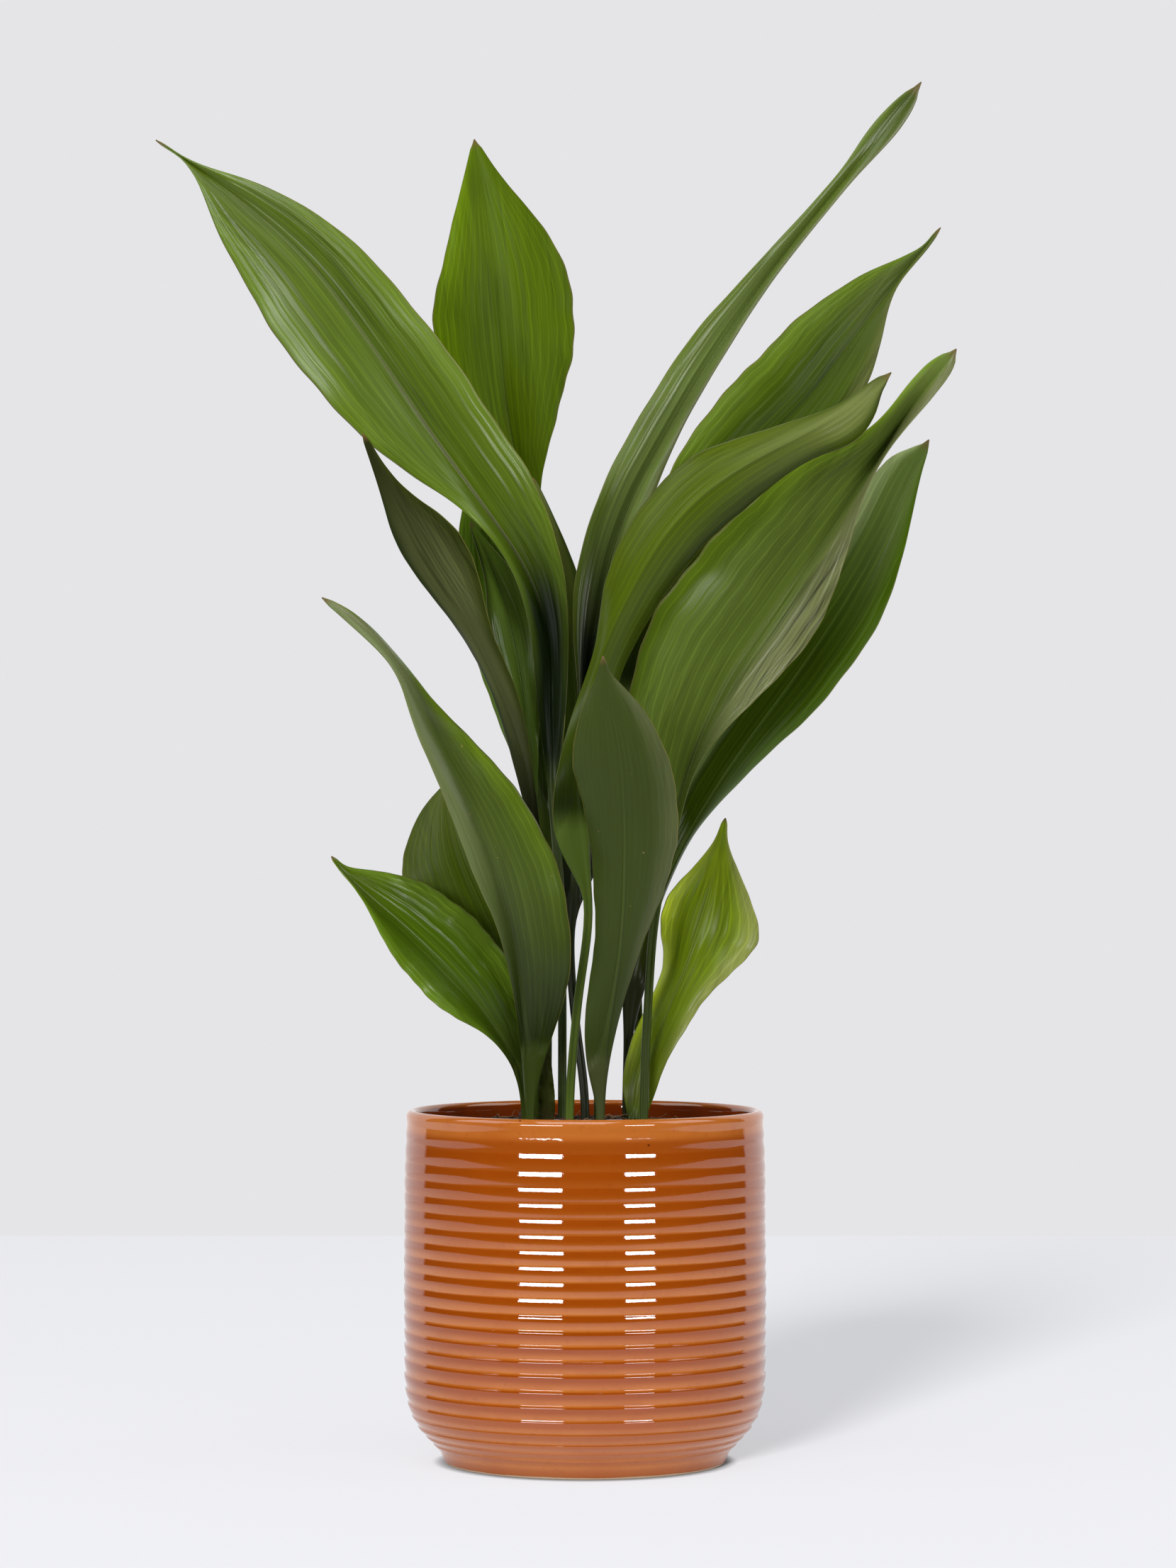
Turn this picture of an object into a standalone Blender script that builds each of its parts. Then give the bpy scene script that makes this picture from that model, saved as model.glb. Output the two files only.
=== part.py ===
"""Potted cast iron plant: sixteen broad leaves on single stalks, soil, and a ribbed glazed ceramic pot.

World frame: +Z up, the origin at the centre of the pot's foot, the plant's face towards -Y.
Lengths are in millimetres until a mesh is made.
"""
import math

import bmesh
import bpy
import numpy as np

MM = 0.001
FRONT_TO_BACK = np.array([0.0, 1.0, 0.0])

# Pot
POT_SIDES = 40
POT_FLOOR = 8.0
RIB_DEPTH = 0.9
# Foot, outside shape without its ribs, lip and inner wall, as (radius, height).
POT_FOOT = [(72.5, 0.0), (74.7, 2.8)]
POT_SIDE = [
    (73.5, 0.0), (79.0, 8.8), (87.3, 17.8), (92.4, 26.8), (94.4, 35.8), (95.3, 44.7),
    (95.5, 100.0), (95.3, 150.0), (94.2, 184.0),
]
POT_LIP = [(94.2, 173.0), (94.2, 182.5), (93.3, 184.8), (91.7, 185.4)]
POT_INSIDE = [
    (89.2, 184.6), (88.6, 182.0), (89.8, 150.0), (89.8, 44.0), (85.8, 28.0), (76.8, 14.0),
    (69.8, POT_FLOOR),
]
# Heights of the grooves between the thrown ribs.
GROOVES = [
    6.6, 10.4, 14.6, 19.6, 25.4, 32.4, 40.0, 47.8, 56.0, 63.2, 70.6, 78.4, 86.6, 95.0,
    103.2, 111.2, 119.2, 127.2, 135.2, 143.2, 151.2, 159.4, 168.4,
]

# Soil
SOIL_SIDES = 40
SOIL_GAP = 0.4
SOIL_LINE = 150.0
SOIL_EDGE_HEIGHT = 172.0
SOIL_CROWN_HEIGHT = 178.0
SOIL_EDGE_RADIUS = 87.8
SOIL_RINGS = [SOIL_EDGE_RADIUS, 72.0, 50.0, 24.0]
SOCKET_BOTTOM = 145.0
SOCKET_TOP = 190.0
SOCKET_GAP = 1.2
SOCKET_SIDES = 10

# Leaves
STALK_RADIUS = 2.3
STALK_TAPER = 0.86
LEAF_HALF_THICKNESS = 0.5
BLADE_ARCH = 0.07
WAVES = 3.5
WAVE_HEIGHT = 1.6
WAVE_SHIFT = 2.1
FOLD_EASE = 8.0  # how gently a half starts to fold where the blade gets narrow
STATIONS = 40
STEPS_ACROSS = 2


def leaf(half_width, widest, fullness, blade_from, fold, route):
    """One leaf. widest is where along the blade it is broadest and blade_from is the route's row
    where the blade starts. fold is how much of each half's spare width turns to the front (+) or to
    the back (-). Each row of the route is x, y, z and how far the left and right halves reach."""
    return {
        "half_width": half_width, "widest": widest, "fullness": fullness,
        "blade_from": blade_from, "fold": fold, "route": route,
    }


LEAVES = {
    "leaf_01": leaf(40, 0.55, 1.9, 4, (0.3, 0.4), [
        (-12, -2, 150, 0, 0), (-12, -2, 200, 0, 0), (-12, -1, 240, 0, 0), (-13, 0, 300, 0, 0),
        (-17, 0, 350, 1, 1), (-18, -2, 400, 7, 8), (-20, -6, 440, 9, 11), (-30, -16, 467, 7, 19),
        (-51, -32, 498, 7, 29), (-79, -38, 537, 25, 31), (-113, -42, 587, 37, 29),
        (-147, -42, 631, 34, 22), (-182, -40, 662, 18, 10), (-204, -38, 678, 1, 1),
        (-223, -36, 691, 1, 1),
    ]),
    "leaf_02": leaf(40, 0.5, 1.8, 4, (0.5, 0.4), [
        (7, 28, 148, 0, 0), (7, 31, 199, 0, 0), (7, 44, 320, 0, 0), (-2, 52, 390, 0, 0),
        (-18, 58, 442, 1, 1), (-33, 60, 514, 18, 9), (-43, 62, 565, 29, 32),
        (-47, 64, 606, 36, 42), (-51, 65, 647, 25, 35), (-56, 66, 683, 11, 12),
        (-60, 66, 707, 1, 1),
    ]),
    "leaf_03": leaf(25, 0.5, 1.9, 3, (-0.5, 0.5), [
        (-24, 12, 149, 0, 0), (-24, 12, 199, 0, 0), (-24, 6, 260, 0, 0), (-25, -4, 320, 1, 1),
        (-32, -20, 370, 6, 3), (-42, -34, 399, 4, 8), (-61, -48, 438, 5, 11),
        (-77, -56, 460, 6, 24), (-90, -62, 482, 8, 22), (-102, -66, 506, 3, 8),
        (-114, -68, 536, 1, 1),
    ]),
    "leaf_04": leaf(30, 0.5, 1.9, 3, (-0.5, -0.5), [
        (-20, 24, 148, 0, 0), (-20, 24, 199, 0, 0), (-20, 22, 270, 0, 1), (-24, 16, 340, 3, 9),
        (-34, 8, 400, 15, 24), (-44, 2, 450, 20, 27), (-50, -2, 490, 17, 25),
        (-50, -4, 520, 10, 14), (-48, -5, 540, 1, 1),
    ]),
    "leaf_05": leaf(20, 0.5, 1.9, 3, (0.5, 0.1), [
        (-28, 18, 149, 0, 0), (-28, 18, 199, 0, 0), (-27, 14, 260, 0, 0), (-27, 6, 320, 1, 1),
        (-30, 2, 370, 3, 5), (-33, 0, 409, 9, 10), (-40, 0, 444, 12, 17),
        (-48, -8, 468, 5, 9), (-55, -12, 484, 3, 3), (-60, -16, 494, 1, 1),
    ]),
    "leaf_06": leaf(44, 0.48, 1.8, 2, (0.45, -0.7), [
        (-29, -18, 151, 0, 0), (-29, -20, 191, 0, 2), (-31, -24, 216, 1, 11),
        (-34, -34, 251, 3, 26), (-41, -50, 291, 6, 32), (-51, -66, 325, 11, 28),
        (-65, -80, 356, 9, 20), (-82, -94, 389, 6, 8), (-94, -104, 416, 3, 2),
        (-114, -112, 437, 4, 3), (-132, -118, 449, 1, 1),
    ]),
    "leaf_07": leaf(31, 0.5, 1.8, 2, (0.8, -0.8), [
        (-31, -7, 150, 0, 0), (-31, -8, 186, 0, 0), (-34, -14, 206, 1, 2),
        (-50, -24, 233, 5, 21), (-65, -32, 253, 16, 28), (-83, -38, 272, 16, 28),
        (-99, -42, 287, 12, 24), (-114, -46, 300, 2, 15), (-125, -48, 311, 1, 3),
        (-131, -50, 319, 1, 1),
    ]),
    "leaf_08": leaf(38, 0.55, 1.6, 3, (-0.5, -0.5), [
        (-20, -4, 150, 0, 0), (-20, -4, 190, 0, 0), (-23, -6, 215, 0, 0), (-30, -9, 235, 1, 5),
        (-44, -12, 270, 24, 26), (-58, -14, 300, 33, 32), (-68, -12, 325, 31, 30),
        (-72, -11, 343, 16, 22), (-73, -10, 357, 1, 1),
    ]),
    "leaf_09": leaf(33, 0.45, 1.9, 3, (0.35, 0.35), [
        (8, 12, 149, 0, 0), (8, 13, 199, 0, 0), (9, 15, 280, 0, 0), (6, 18, 320, 1, 1),
        (1, 20, 360, 1, 2), (0, 24, 401, 3, 12), (8, 32, 452, 15, 12), (22, 40, 503, 17, 11),
        (41, 46, 539, 18, 6), (66, 54, 583, 16, 5), (97, 62, 630, 9, 4), (132, 70, 675, 5, 4),
        (146, 73, 692, 5, 4), (158, 75, 706, 8, 5), (171, 77, 723, 7, 6), (183, 78, 740, 1, 1),
    ]),
    "leaf_10": leaf(36, 0.5, 1.8, 4, (0.4, 0.4), [
        (29, 20, 149, 0, 0), (29, 24, 199, 0, 0), (27, 34, 290, 0, 0), (26, 28, 350, 0, 0),
        (27, 12, 401, 9, 3), (38, 0, 451, 16, 20), (56, 0, 490, 23, 28), (84, 4, 525, 33, 29),
        (116, 8, 556, 36, 24), (141, 12, 590, 30, 16), (164, 16, 622, 14, 1),
        (177, 18, 638, 2, 2), (189, 20, 653, 1, 1),
    ]),
    "leaf_11": leaf(33, 0.5, 1.9, 4, (-0.8, -0.8), [
        (-8, -12, 151, 0, 0), (-8, -13, 191, 0, 0), (-4, -18, 241, 0, 0), (2, -30, 295, 0, 0),
        (-3, -38, 330, 13, 5), (-3, -52, 379, 7, 13), (8, -64, 422, 4, 13),
        (23, -74, 454, 16, 16), (41, -82, 483, 19, 18), (62, -88, 505, 20, 19),
        (85, -92, 520, 14, 16), (111, -95, 533, 9, 12), (134, -97, 546, 4, 17),
        (146, -98, 556, 4, 5), (155, -98, 564, 1, 1),
    ]),
    "leaf_12": leaf(48, 0.5, 1.9, 4, (0.5, 0.6), [
        (31, -12, 151, 0, 0), (31, -12, 191, 0, 0), (33, -13, 240, 0, 0), (37, -14, 290, 0, 0),
        (43, -16, 320, 3, 2), (56, -21, 368, 36, 2), (74, -28, 409, 50, 16),
        (96, -35, 443, 50, 24), (118, -41, 475, 43, 18), (139, -46, 505, 34, 5),
        (157, -50, 532, 13, 1), (166, -53, 548, 8, 5), (178, -56, 563, 9, 6),
        (185, -58, 571, 7, 5), (191, -60, 580, 1, 1),
    ]),
    "leaf_13": leaf(29, 0.5, 1.8, 3, (-0.8, -0.35), [
        (22, 16, 149, 0, 0), (22, 16, 189, 0, 0), (23, 16, 224, 1, 1), (24, 15, 250, 4, 8),
        (36, 12, 288, 8, 1), (52, 8, 325, 17, 1), (78, 2, 368, 22, 10), (112, -4, 415, 24, 20),
        (141, -10, 459, 21, 20), (163, -14, 499, 19, 9), (172, -16, 519, 18, 4),
        (177, -17, 529, 8, 2), (180, -18, 537, 1, 1),
    ]),
    "leaf_14": leaf(29, 0.55, 1.5, 2, (-0.6, -0.6), [
        (8, -26, 152, 0, 0), (8, -27, 185, 0, 0), (9, -32, 208, 8, 2), (13, -40, 237, 13, 5),
        (18, -54, 271, 13, 11), (20, -67, 306, 16, 23), (20, -80, 340, 20, 28),
        (18, -94, 370, 25, 23), (13, -104, 397, 15, 12), (11, -108, 408, 6, 3),
        (9, -112, 420, 1, 1),
    ]),
    "leaf_15": leaf(31, 0.55, 1.5, 1, (-0.7, 0.7), [
        (27, -2, 150, 0, 0), (27, -2, 179, 2, 2), (28, -2, 190, 9, 8), (32, -1, 205, 12, 7),
        (40, 0, 228, 12, 11), (52, 0, 258, 10, 18), (61, 0, 285, 23, 35), (68, 0, 308, 13, 16),
        (71, 0, 322, 5, 5), (74, 0, 339, 1, 1),
    ]),
    "leaf_16": leaf(17, 0.5, 1.5, 4, (-0.5, -0.5), [
        (0, 3, 150, 0, 0), (0, 4, 190, 0, 0), (-6, 9, 240, 0, 0), (-8, 16, 275, 0, 0),
        (-7, 21, 290, 2, 2), (-6, 26, 308, 7, 11), (-4, 36, 360, 14, 14), (-5, 42, 411, 15, 13),
        (-10, 44, 461, 14, 9), (-18, 44, 497, 9, 3), (-28, 44, 522, 1, 1),
    ]),
    "sheath": leaf(9, 0.4, 1.0, 0, (-0.5, -0.5), [
        (-20, -10, 179, 3, 3), (-20, -11, 190, 4, 4), (-21, -12, 205, 4, 4), (-21, -13, 222, 1, 1),
    ]),
}

FRESH_GREEN = (0.085, 0.190, 0.012)
MID_GREEN = (0.040, 0.105, 0.014)
DARK_GREEN = (0.026, 0.052, 0.014)
LIME_GREEN = (0.190, 0.260, 0.014)
LEAF_COLOURS = {
    "leaf_02": FRESH_GREEN, "leaf_03": DARK_GREEN, "leaf_08": DARK_GREEN,
    "leaf_14": DARK_GREEN, "leaf_15": LIME_GREEN, "leaf_16": DARK_GREEN, "sheath": DARK_GREEN,
}


def clear_scene():
    for item in list(bpy.data.objects):
        bpy.data.objects.remove(item)


def material(name, colour, roughness, coat=0.0):
    made = bpy.data.materials.new(name)
    made.use_nodes = True
    shader = made.node_tree.nodes["Principled BSDF"]
    shader.inputs["Base Color"].default_value = (*colour, 1.0)
    shader.inputs["Roughness"].default_value = roughness
    shader.inputs["Metallic"].default_value = 0.0
    shader.inputs["Coat Weight"].default_value = coat
    made.diffuse_color = (*colour, 1.0)
    return made


def body(name, points, faces, surface=None):
    """A mesh object from points in millimetres, its faces turned outwards and shaded smooth."""
    mesh = bpy.data.meshes.new(name)
    mesh.from_pydata([tuple(MM * float(v) for v in point) for point in points], [], faces)
    work = bmesh.new()
    work.from_mesh(mesh)
    bmesh.ops.recalc_face_normals(work, faces=work.faces)
    work.to_mesh(mesh)
    work.free()
    mesh.shade_smooth()
    made = bpy.data.objects.new(name, mesh)
    bpy.context.scene.collection.objects.link(made)
    if surface is not None:
        mesh.materials.append(surface)
    return made


def turned(name, profile, sides, surface):
    """A body turned round the Z axis. The profile's first and last points lie on the axis."""
    rings = profile[1:-1]
    points = [(0.0, 0.0, profile[0][1]), (0.0, 0.0, profile[-1][1])]
    for radius, height in rings:
        for side in range(sides):
            turn = 2 * math.pi * side / sides
            points.append((radius * math.cos(turn), radius * math.sin(turn), height))
    faces = []
    last = 2 + (len(rings) - 1) * sides
    for side in range(sides):
        after = (side + 1) % sides
        faces.append((0, 2 + after, 2 + side))
        faces.append((1, last + side, last + after))
        for ring in range(len(rings) - 1):
            low, high = 2 + ring * sides, 2 + (ring + 1) * sides
            faces.append((low + side, low + after, high + after, high + side))
    return body(name, points, faces, surface)


def side_radius(height):
    return float(np.interp(height, [z for _, z in POT_SIDE], [r for r, _ in POT_SIDE]))


def pot_outside():
    """Foot to lip, with a groove at each listed height and a rounded rib halfway to the next."""
    line = list(POT_FOOT)
    for low, high in zip(GROOVES, GROOVES[1:]):
        crest = (low + high) / 2
        line.append((side_radius(low) - RIB_DEPTH, low))
        line.append((side_radius(crest), crest))
    line.append((side_radius(GROOVES[-1]) - RIB_DEPTH, GROOVES[-1]))
    return line + POT_LIP


def make_pot():
    glaze = material("amber glaze", (0.420, 0.115, 0.016), 0.16, coat=0.5)
    profile = [(0.0, 0.0)] + pot_outside() + POT_INSIDE + [(0.0, POT_FLOOR)]
    return turned("pot", profile, POT_SIDES, glaze)


def soil_height(radius):
    """The mound: highest in the middle and level with SOIL_EDGE_HEIGHT at its edge."""
    rise = math.cos(math.pi / 2 * radius / SOIL_EDGE_RADIUS)
    return SOIL_EDGE_HEIGHT + (SOIL_CROWN_HEIGHT - SOIL_EDGE_HEIGHT) * rise


def make_soil():
    earth = material("potting soil", (0.052, 0.030, 0.018), 0.95)
    inside = [(r, z) for r, z in POT_INSIDE if z <= SOIL_LINE]
    line = [(r - SOIL_GAP, z + SOIL_GAP) for r, z in reversed(inside)]
    line += [(radius, soil_height(radius)) for radius in SOIL_RINGS]
    profile = [(0.0, POT_FLOOR + SOIL_GAP)] + line + [(0.0, SOIL_CROWN_HEIGHT)]
    soil = turned("soil", profile, SOIL_SIDES, earth)
    sockets = soil.modifiers.new("sockets", "BOOLEAN")
    sockets.operation = "DIFFERENCE"
    sockets.solver = "EXACT"
    sockets.object = make_sockets()
    return soil


def make_sockets():
    """One upright hole for each stalk, as a single cutter."""
    points, faces = [], []
    for name, shape in LEAVES.items():
        if name == "sheath":
            continue
        foot, knee = np.array(shape["route"][0][:3], float), np.array(shape["route"][1][:3], float)
        slope = (knee - foot) / (knee[2] - foot[2])
        start = len(points)
        for height in (SOCKET_BOTTOM, SOCKET_TOP):
            centre = foot + slope * (height - foot[2])
            for side in range(SOCKET_SIDES):
                turn = 2 * math.pi * side / SOCKET_SIDES
                reach = STALK_RADIUS + SOCKET_GAP
                points.append((
                    centre[0] + reach * math.cos(turn), centre[1] + reach * math.sin(turn), height,
                ))
        low = list(range(start, start + SOCKET_SIDES))
        high = [index + SOCKET_SIDES for index in low]
        faces += [tuple(reversed(low)), tuple(high)]
        for side in range(SOCKET_SIDES):
            after = (side + 1) % SOCKET_SIDES
            faces.append((low[side], low[after], high[after], high[side]))
    cutter = body("socket cutter", points, faces)
    cutter.hide_render = True
    cutter.display_type = "WIRE"
    return cutter


def route_through(rows, blade_from, stations):
    """Smooth values at even steps along a route's rows, and how far along the blade each step is."""
    rows = np.array(rows, float)
    knots = np.concatenate([[0], np.cumsum(np.linalg.norm(np.diff(rows[:, :3], axis=0), axis=1))])
    slopes = np.gradient(rows, knots, axis=0)
    at = np.linspace(0, knots[-1], stations)
    low = np.clip(np.searchsorted(knots, at, side="right") - 1, 0, len(knots) - 2)
    span = (knots[low + 1] - knots[low])[:, None]
    t = (at[:, None] - knots[low][:, None]) / span
    values = (
        rows[low] * (2 * t ** 3 - 3 * t ** 2 + 1) + rows[low + 1] * (3 * t ** 2 - 2 * t ** 3)
        + slopes[low] * span * (t ** 3 - 2 * t ** 2 + t) + slopes[low + 1] * span * (t ** 3 - t ** 2)
    )
    along = np.clip((at - knots[blade_from]) / (knots[-1] - knots[blade_from]), 0, 1)
    return values, along


def unit(vectors):
    return vectors / np.linalg.norm(vectors, axis=-1, keepdims=True)


def blade_width(shape, along):
    """Half-width along the blade: pointed at both ends and broadest where the leaf says."""
    rise = shape["fullness"] * shape["widest"]
    fall = shape["fullness"] * (1 - shape["widest"])
    outline = (along / shape["widest"]) ** rise * ((1 - along) / (1 - shape["widest"])) ** fall
    return shape["half_width"] * outline


def leaf_layers(shape, stations, across):
    """Middle surface of a leaf as a grid of points, its normals and its half-thickness."""
    values, along = route_through(shape["route"], shape["blade_from"], stations)
    centre, reach = values[:, :3], np.maximum(values[:, 3:], 0)
    onwards = unit(np.gradient(centre, axis=0))
    sideways = unit(np.cross(FRONT_TO_BACK, onwards))
    facing = np.cross(sideways, onwards)
    width = blade_width(shape, along)
    stalk = STALK_RADIUS * (1 - STALK_TAPER * along)
    grid = np.zeros((stations, 2 * across + 1, 3))
    distance = np.zeros((stations, 2 * across + 1))
    for column in range(-across, across + 1):
        share, half = abs(column) / across, int(column > 0)
        spare = np.sqrt(np.maximum(width ** 2 - reach[:, half] ** 2, 0) + FOLD_EASE ** 2) - FOLD_EASE
        lateral = np.hypot(reach[:, half], stalk) * (1 if half else -1)
        wave = np.sin(2 * math.pi * WAVES * along + WAVE_SHIFT * half) * np.sin(math.pi * along)
        forward = shape["fold"][half] * spare * share + WAVE_HEIGHT * wave * share ** 2
        forward += BLADE_ARCH * width * 4 * share * (1 - share)
        grid[:, column + across] = (
            centre + sideways * (lateral * share)[:, None] + facing * forward[:, None]
        )
        distance[:, column + across] = share * np.hypot(width, stalk)
    normals = unit(np.cross(np.gradient(grid, axis=1), np.gradient(grid, axis=0)))
    rib = np.sqrt(np.maximum(stalk[:, None] ** 2 - distance ** 2, 0))
    return grid, normals, np.maximum(rib, np.minimum(LEAF_HALF_THICKNESS, stalk)[:, None])


def make_leaf(name, shape):
    """A closed leaf: each station is a ring that runs over the top and back underneath."""
    grid, normals, thickness = leaf_layers(shape, STATIONS, STEPS_ACROSS)
    over = grid + normals * thickness[..., None]
    under = grid - normals * thickness[..., None]
    rings = np.concatenate([over, under[:, ::-1]], axis=1)
    count = rings.shape[1]
    faces = [tuple(range(count)), tuple((STATIONS - 1) * count + i for i in reversed(range(count)))]
    for station in range(STATIONS - 1):
        low, high = station * count, (station + 1) * count
        for i in range(count):
            after = (i + 1) % count
            faces.append((low + i, low + after, high + after, high + i))
    surface = material(f"{name} green", LEAF_COLOURS.get(name, MID_GREEN), 0.38)
    return body(name, rings.reshape(-1, 3), faces, surface)


def main():
    clear_scene()
    make_pot()
    make_soil()
    for name, shape in LEAVES.items():
        make_leaf(name, shape)


main()
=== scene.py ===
"""The looks of a potted cast iron plant: pleated leaves, loose soil and a ribbed amber-glazed pot.

World frame: metres, +Z up, the origin at the centre of the pot's foot, the plant's face towards -Y.
Shapes are worked out in millimetres, and become metres where a mesh or an object is made.
"""
import math

import bmesh
import bpy
import numpy as np
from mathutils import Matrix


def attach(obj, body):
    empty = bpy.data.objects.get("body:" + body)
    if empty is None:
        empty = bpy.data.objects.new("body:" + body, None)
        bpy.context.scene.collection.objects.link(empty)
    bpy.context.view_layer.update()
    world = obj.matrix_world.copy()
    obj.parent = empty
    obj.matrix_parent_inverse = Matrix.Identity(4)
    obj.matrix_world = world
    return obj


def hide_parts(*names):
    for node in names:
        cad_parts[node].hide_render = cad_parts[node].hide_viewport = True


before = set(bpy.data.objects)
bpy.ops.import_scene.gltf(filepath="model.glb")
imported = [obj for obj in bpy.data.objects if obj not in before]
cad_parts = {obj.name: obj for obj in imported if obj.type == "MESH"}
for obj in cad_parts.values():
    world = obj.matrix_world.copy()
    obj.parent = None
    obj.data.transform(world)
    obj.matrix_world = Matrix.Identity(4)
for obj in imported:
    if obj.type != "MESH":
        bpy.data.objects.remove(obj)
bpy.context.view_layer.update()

MM = 0.001

# Camera: level, straight in front of the plant, with a long lens
CAMERA_AT = (0.0, -2.43, 0.3267)
LENS, SENSOR = 105.8, 36.0
SHIFT_X, SHIFT_Y = 0.0019, 0.0366
CLIP_NEAR, CLIP_FAR = 0.05, 50.0

# Studio, in metres and degrees. The softboxes are aimed at AIM_HEIGHT above the pot's foot.
AIM_HEIGHT = 0.15
# Name, azimuth, elevation, distance, width, height and radiance.
SOFTBOXES = [
    ("softbox left", -28, 12, 4.0, 1.95, 0.5, 22), ("softbox right", 35, 12, 4.0, 1.34, 0.5, 22),
    ("softbox above", -10, 58, 3.0, 2.0, 2.0, 3.0), ("softbox high left", -80, 42, 2.6, 1.6, 1.4, 2.2),
    ("softbox high right", 80, 42, 2.6, 1.6, 1.4, 2.2),
]
FLOOR_REACH, FLOOR_END = 7.0, 1.388
FLOOR_COLOUR, FLOOR_GLOW_COLOUR = (0.15, 0.15, 0.155, 1.0), (0.97, 0.98, 1.02, 1.0)
# How much the floor glows, and how far round the foot its glow fades into a painted contact shadow.
FLOOR_GLOW, CONTACT_SHADE_REACH = 0.54, 0.008
# The floor lights the plant back to FLOOR_LIT and not from FLOOR_UNLIT forward.
FLOOR_LIT, FLOOR_UNLIT, UNLIT_GLOW = -0.40, -0.60, 0.02
SUN_STRENGTH, SUN_SPREAD, SUN_HEIGHT, SUN_TURN = 23.5, 12, 10.5, -17
BACKDROP, BRIGHT_STUDIO, DIM_STUDIO = (229, 229, 231), (250, 250, 252), (44, 44, 46)

# Pot
POT_SIDES = 240
POT_UNDERSIDE, POT_FLOOR = 1.2, 8.0
RIB_POINTS = 9
# Depth of the grooves, and where between two grooves the rib's crest lies, both by height.
RIB_DEPTHS = [(0, 0.7), (30, 1.05), (68, 1.0), (86, 0.6), (150, 0.45), (185, 0.3)]
RIB_CRESTS = [(0, 0.9), (72, 0.9), (86, 0.5), (185, 0.5)]
RIB_WANDER = 0.10
# Foot, outside shape without its ribs, lip and inner wall, as (radius, height).
POT_FOOT = [(71.2, 0.35), (72.4, 0.0), (73.6, 0.15), (74.2, 0.9), (74.8, 2.2), (75.6, 4.2)]
POT_SIDE = [
    (73.5, 0.0), (79.0, 8.8), (87.3, 17.8), (92.4, 26.8), (94.4, 35.8), (95.3, 44.7),
    (95.5, 100.0), (95.3, 150.0), (94.2, 184.0),
]
GROOVES = [
    6.6, 10.4, 14.6, 19.6, 25.4, 32.4, 40.0, 47.8, 56.0, 63.2, 70.6, 78.4, 86.6, 95.0,
    103.2, 111.2, 119.2, 127.2, 135.2, 143.2, 151.2, 159.4, 168.4,
]
POT_LIP = [
    (94.3, 170.6), (94.55, 172.2), (94.45, 173.6), (94.2, 175.8), (94.0, 177.6), (94.0, 178.6),
    (94.15, 180.0), (94.3, 181.4), (94.35, 182.4), (94.1, 183.4), (93.4, 184.5), (92.4, 185.2),
    (91.4, 185.4), (90.1, 185.1), (89.2, 184.1),
]
POT_INSIDE = [
    (88.8, 182.6), (88.7, 180.0), (89.0, 172.0), (89.6, 160.0), (89.8, 150.0), (89.8, 44.0),
    (88.6, 35.0), (85.8, 28.0), (81.6, 20.4), (76.8, 14.0), (69.8, POT_FLOOR),
]

# Soil
SOIL_GAP = 0.4
SOIL_LINE = 150.0
SOIL_EDGE_RADIUS, SOIL_EDGE_HEIGHT, SOIL_CROWN_HEIGHT = 87.8, 172.0, 178.0
SOIL_MIDDLE_RADIUS = 0.8
SOIL_HEAPED = 1.6
SOIL_RINGS, SOIL_SIDES = 70, 220
# Bumps of the loose soil, as (radians per millimetre, height), with BUMP_WAYS waves of each.
SOIL_BUMPS = [(0.10, 0.8), (0.22, 0.55), (0.45, 0.4), (0.9, 0.3)]
BUMP_WAYS, BUMP_SHARE = 3, 1.7
CRUMBS, BARK_CHIPS, FIBRES = 1300, 70, 90
FIBRE_SIDES, FIBRE_STEPS = 6, 14
FIBRE_LENGTHS, FIBRE_RADII, FIBRE_CURL = (8, 30), (0.12, 0.28), 0.07
FIBRE_SPREAD = 76
# Share of the fibres that stand up, and how far these and the others lift off the soil.
FIBRES_UP, LIFT_UP, LIFT_FLAT = 0.4, 5, 1.2

# Leaves
STALK_RADIUS = 2.3
STALK_TAPER = 0.86
LEAF_HALF_THICKNESS = 0.28
BLADE_ARCH = 0.07
# Waves of the margin along the blade: broad ones, each half's a little later, and finer ripples on them.
WAVES, WAVE_HEIGHT, WAVE_SHIFT = 3.5, 1.6, 2.1
RIPPLES, RIPPLE_HEIGHT = 9, 0.35
# How the margin wanders in and out, as (waves along the blade, share of the half's width).
RAGGED = [(6, 0.012), (15, 0.008)]
# Pleats across a half, as (how many, height). They drift across as they run along the blade.
PLEATS = [(3.2, 0.20), (5.4, 0.16), (8.3, 0.12)]
PLEAT_DRIFT, DRIFT_WAVES = 0.5, 0.8
# Midrib: its groove's half-width in stalk radii, how deep the groove is in a stalk and on a blade, how far
# the rib stands up on the blade's upper face, and how much flatter than the stalk it is underneath.
GROOVE_WIDTH, STALK_GROOVE, BLADE_GROOVE = 0.5, 0.55, 0.22
RIB_ABOVE, RIB_FLATTER = 0.16, 0.35
# Lengths, in millimetres, over which a leaf's bends and the start of a fold are evened out.
EVENED_OVER = 9.0
FOLD_EASE = 8.0
STALK_STATIONS, BLADE_STATIONS = 26, 104
STEPS_ACROSS, RIB_STEPS = 34, 5
FRONT_TO_BACK = np.array([0.0, 1.0, 0.0])

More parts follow.
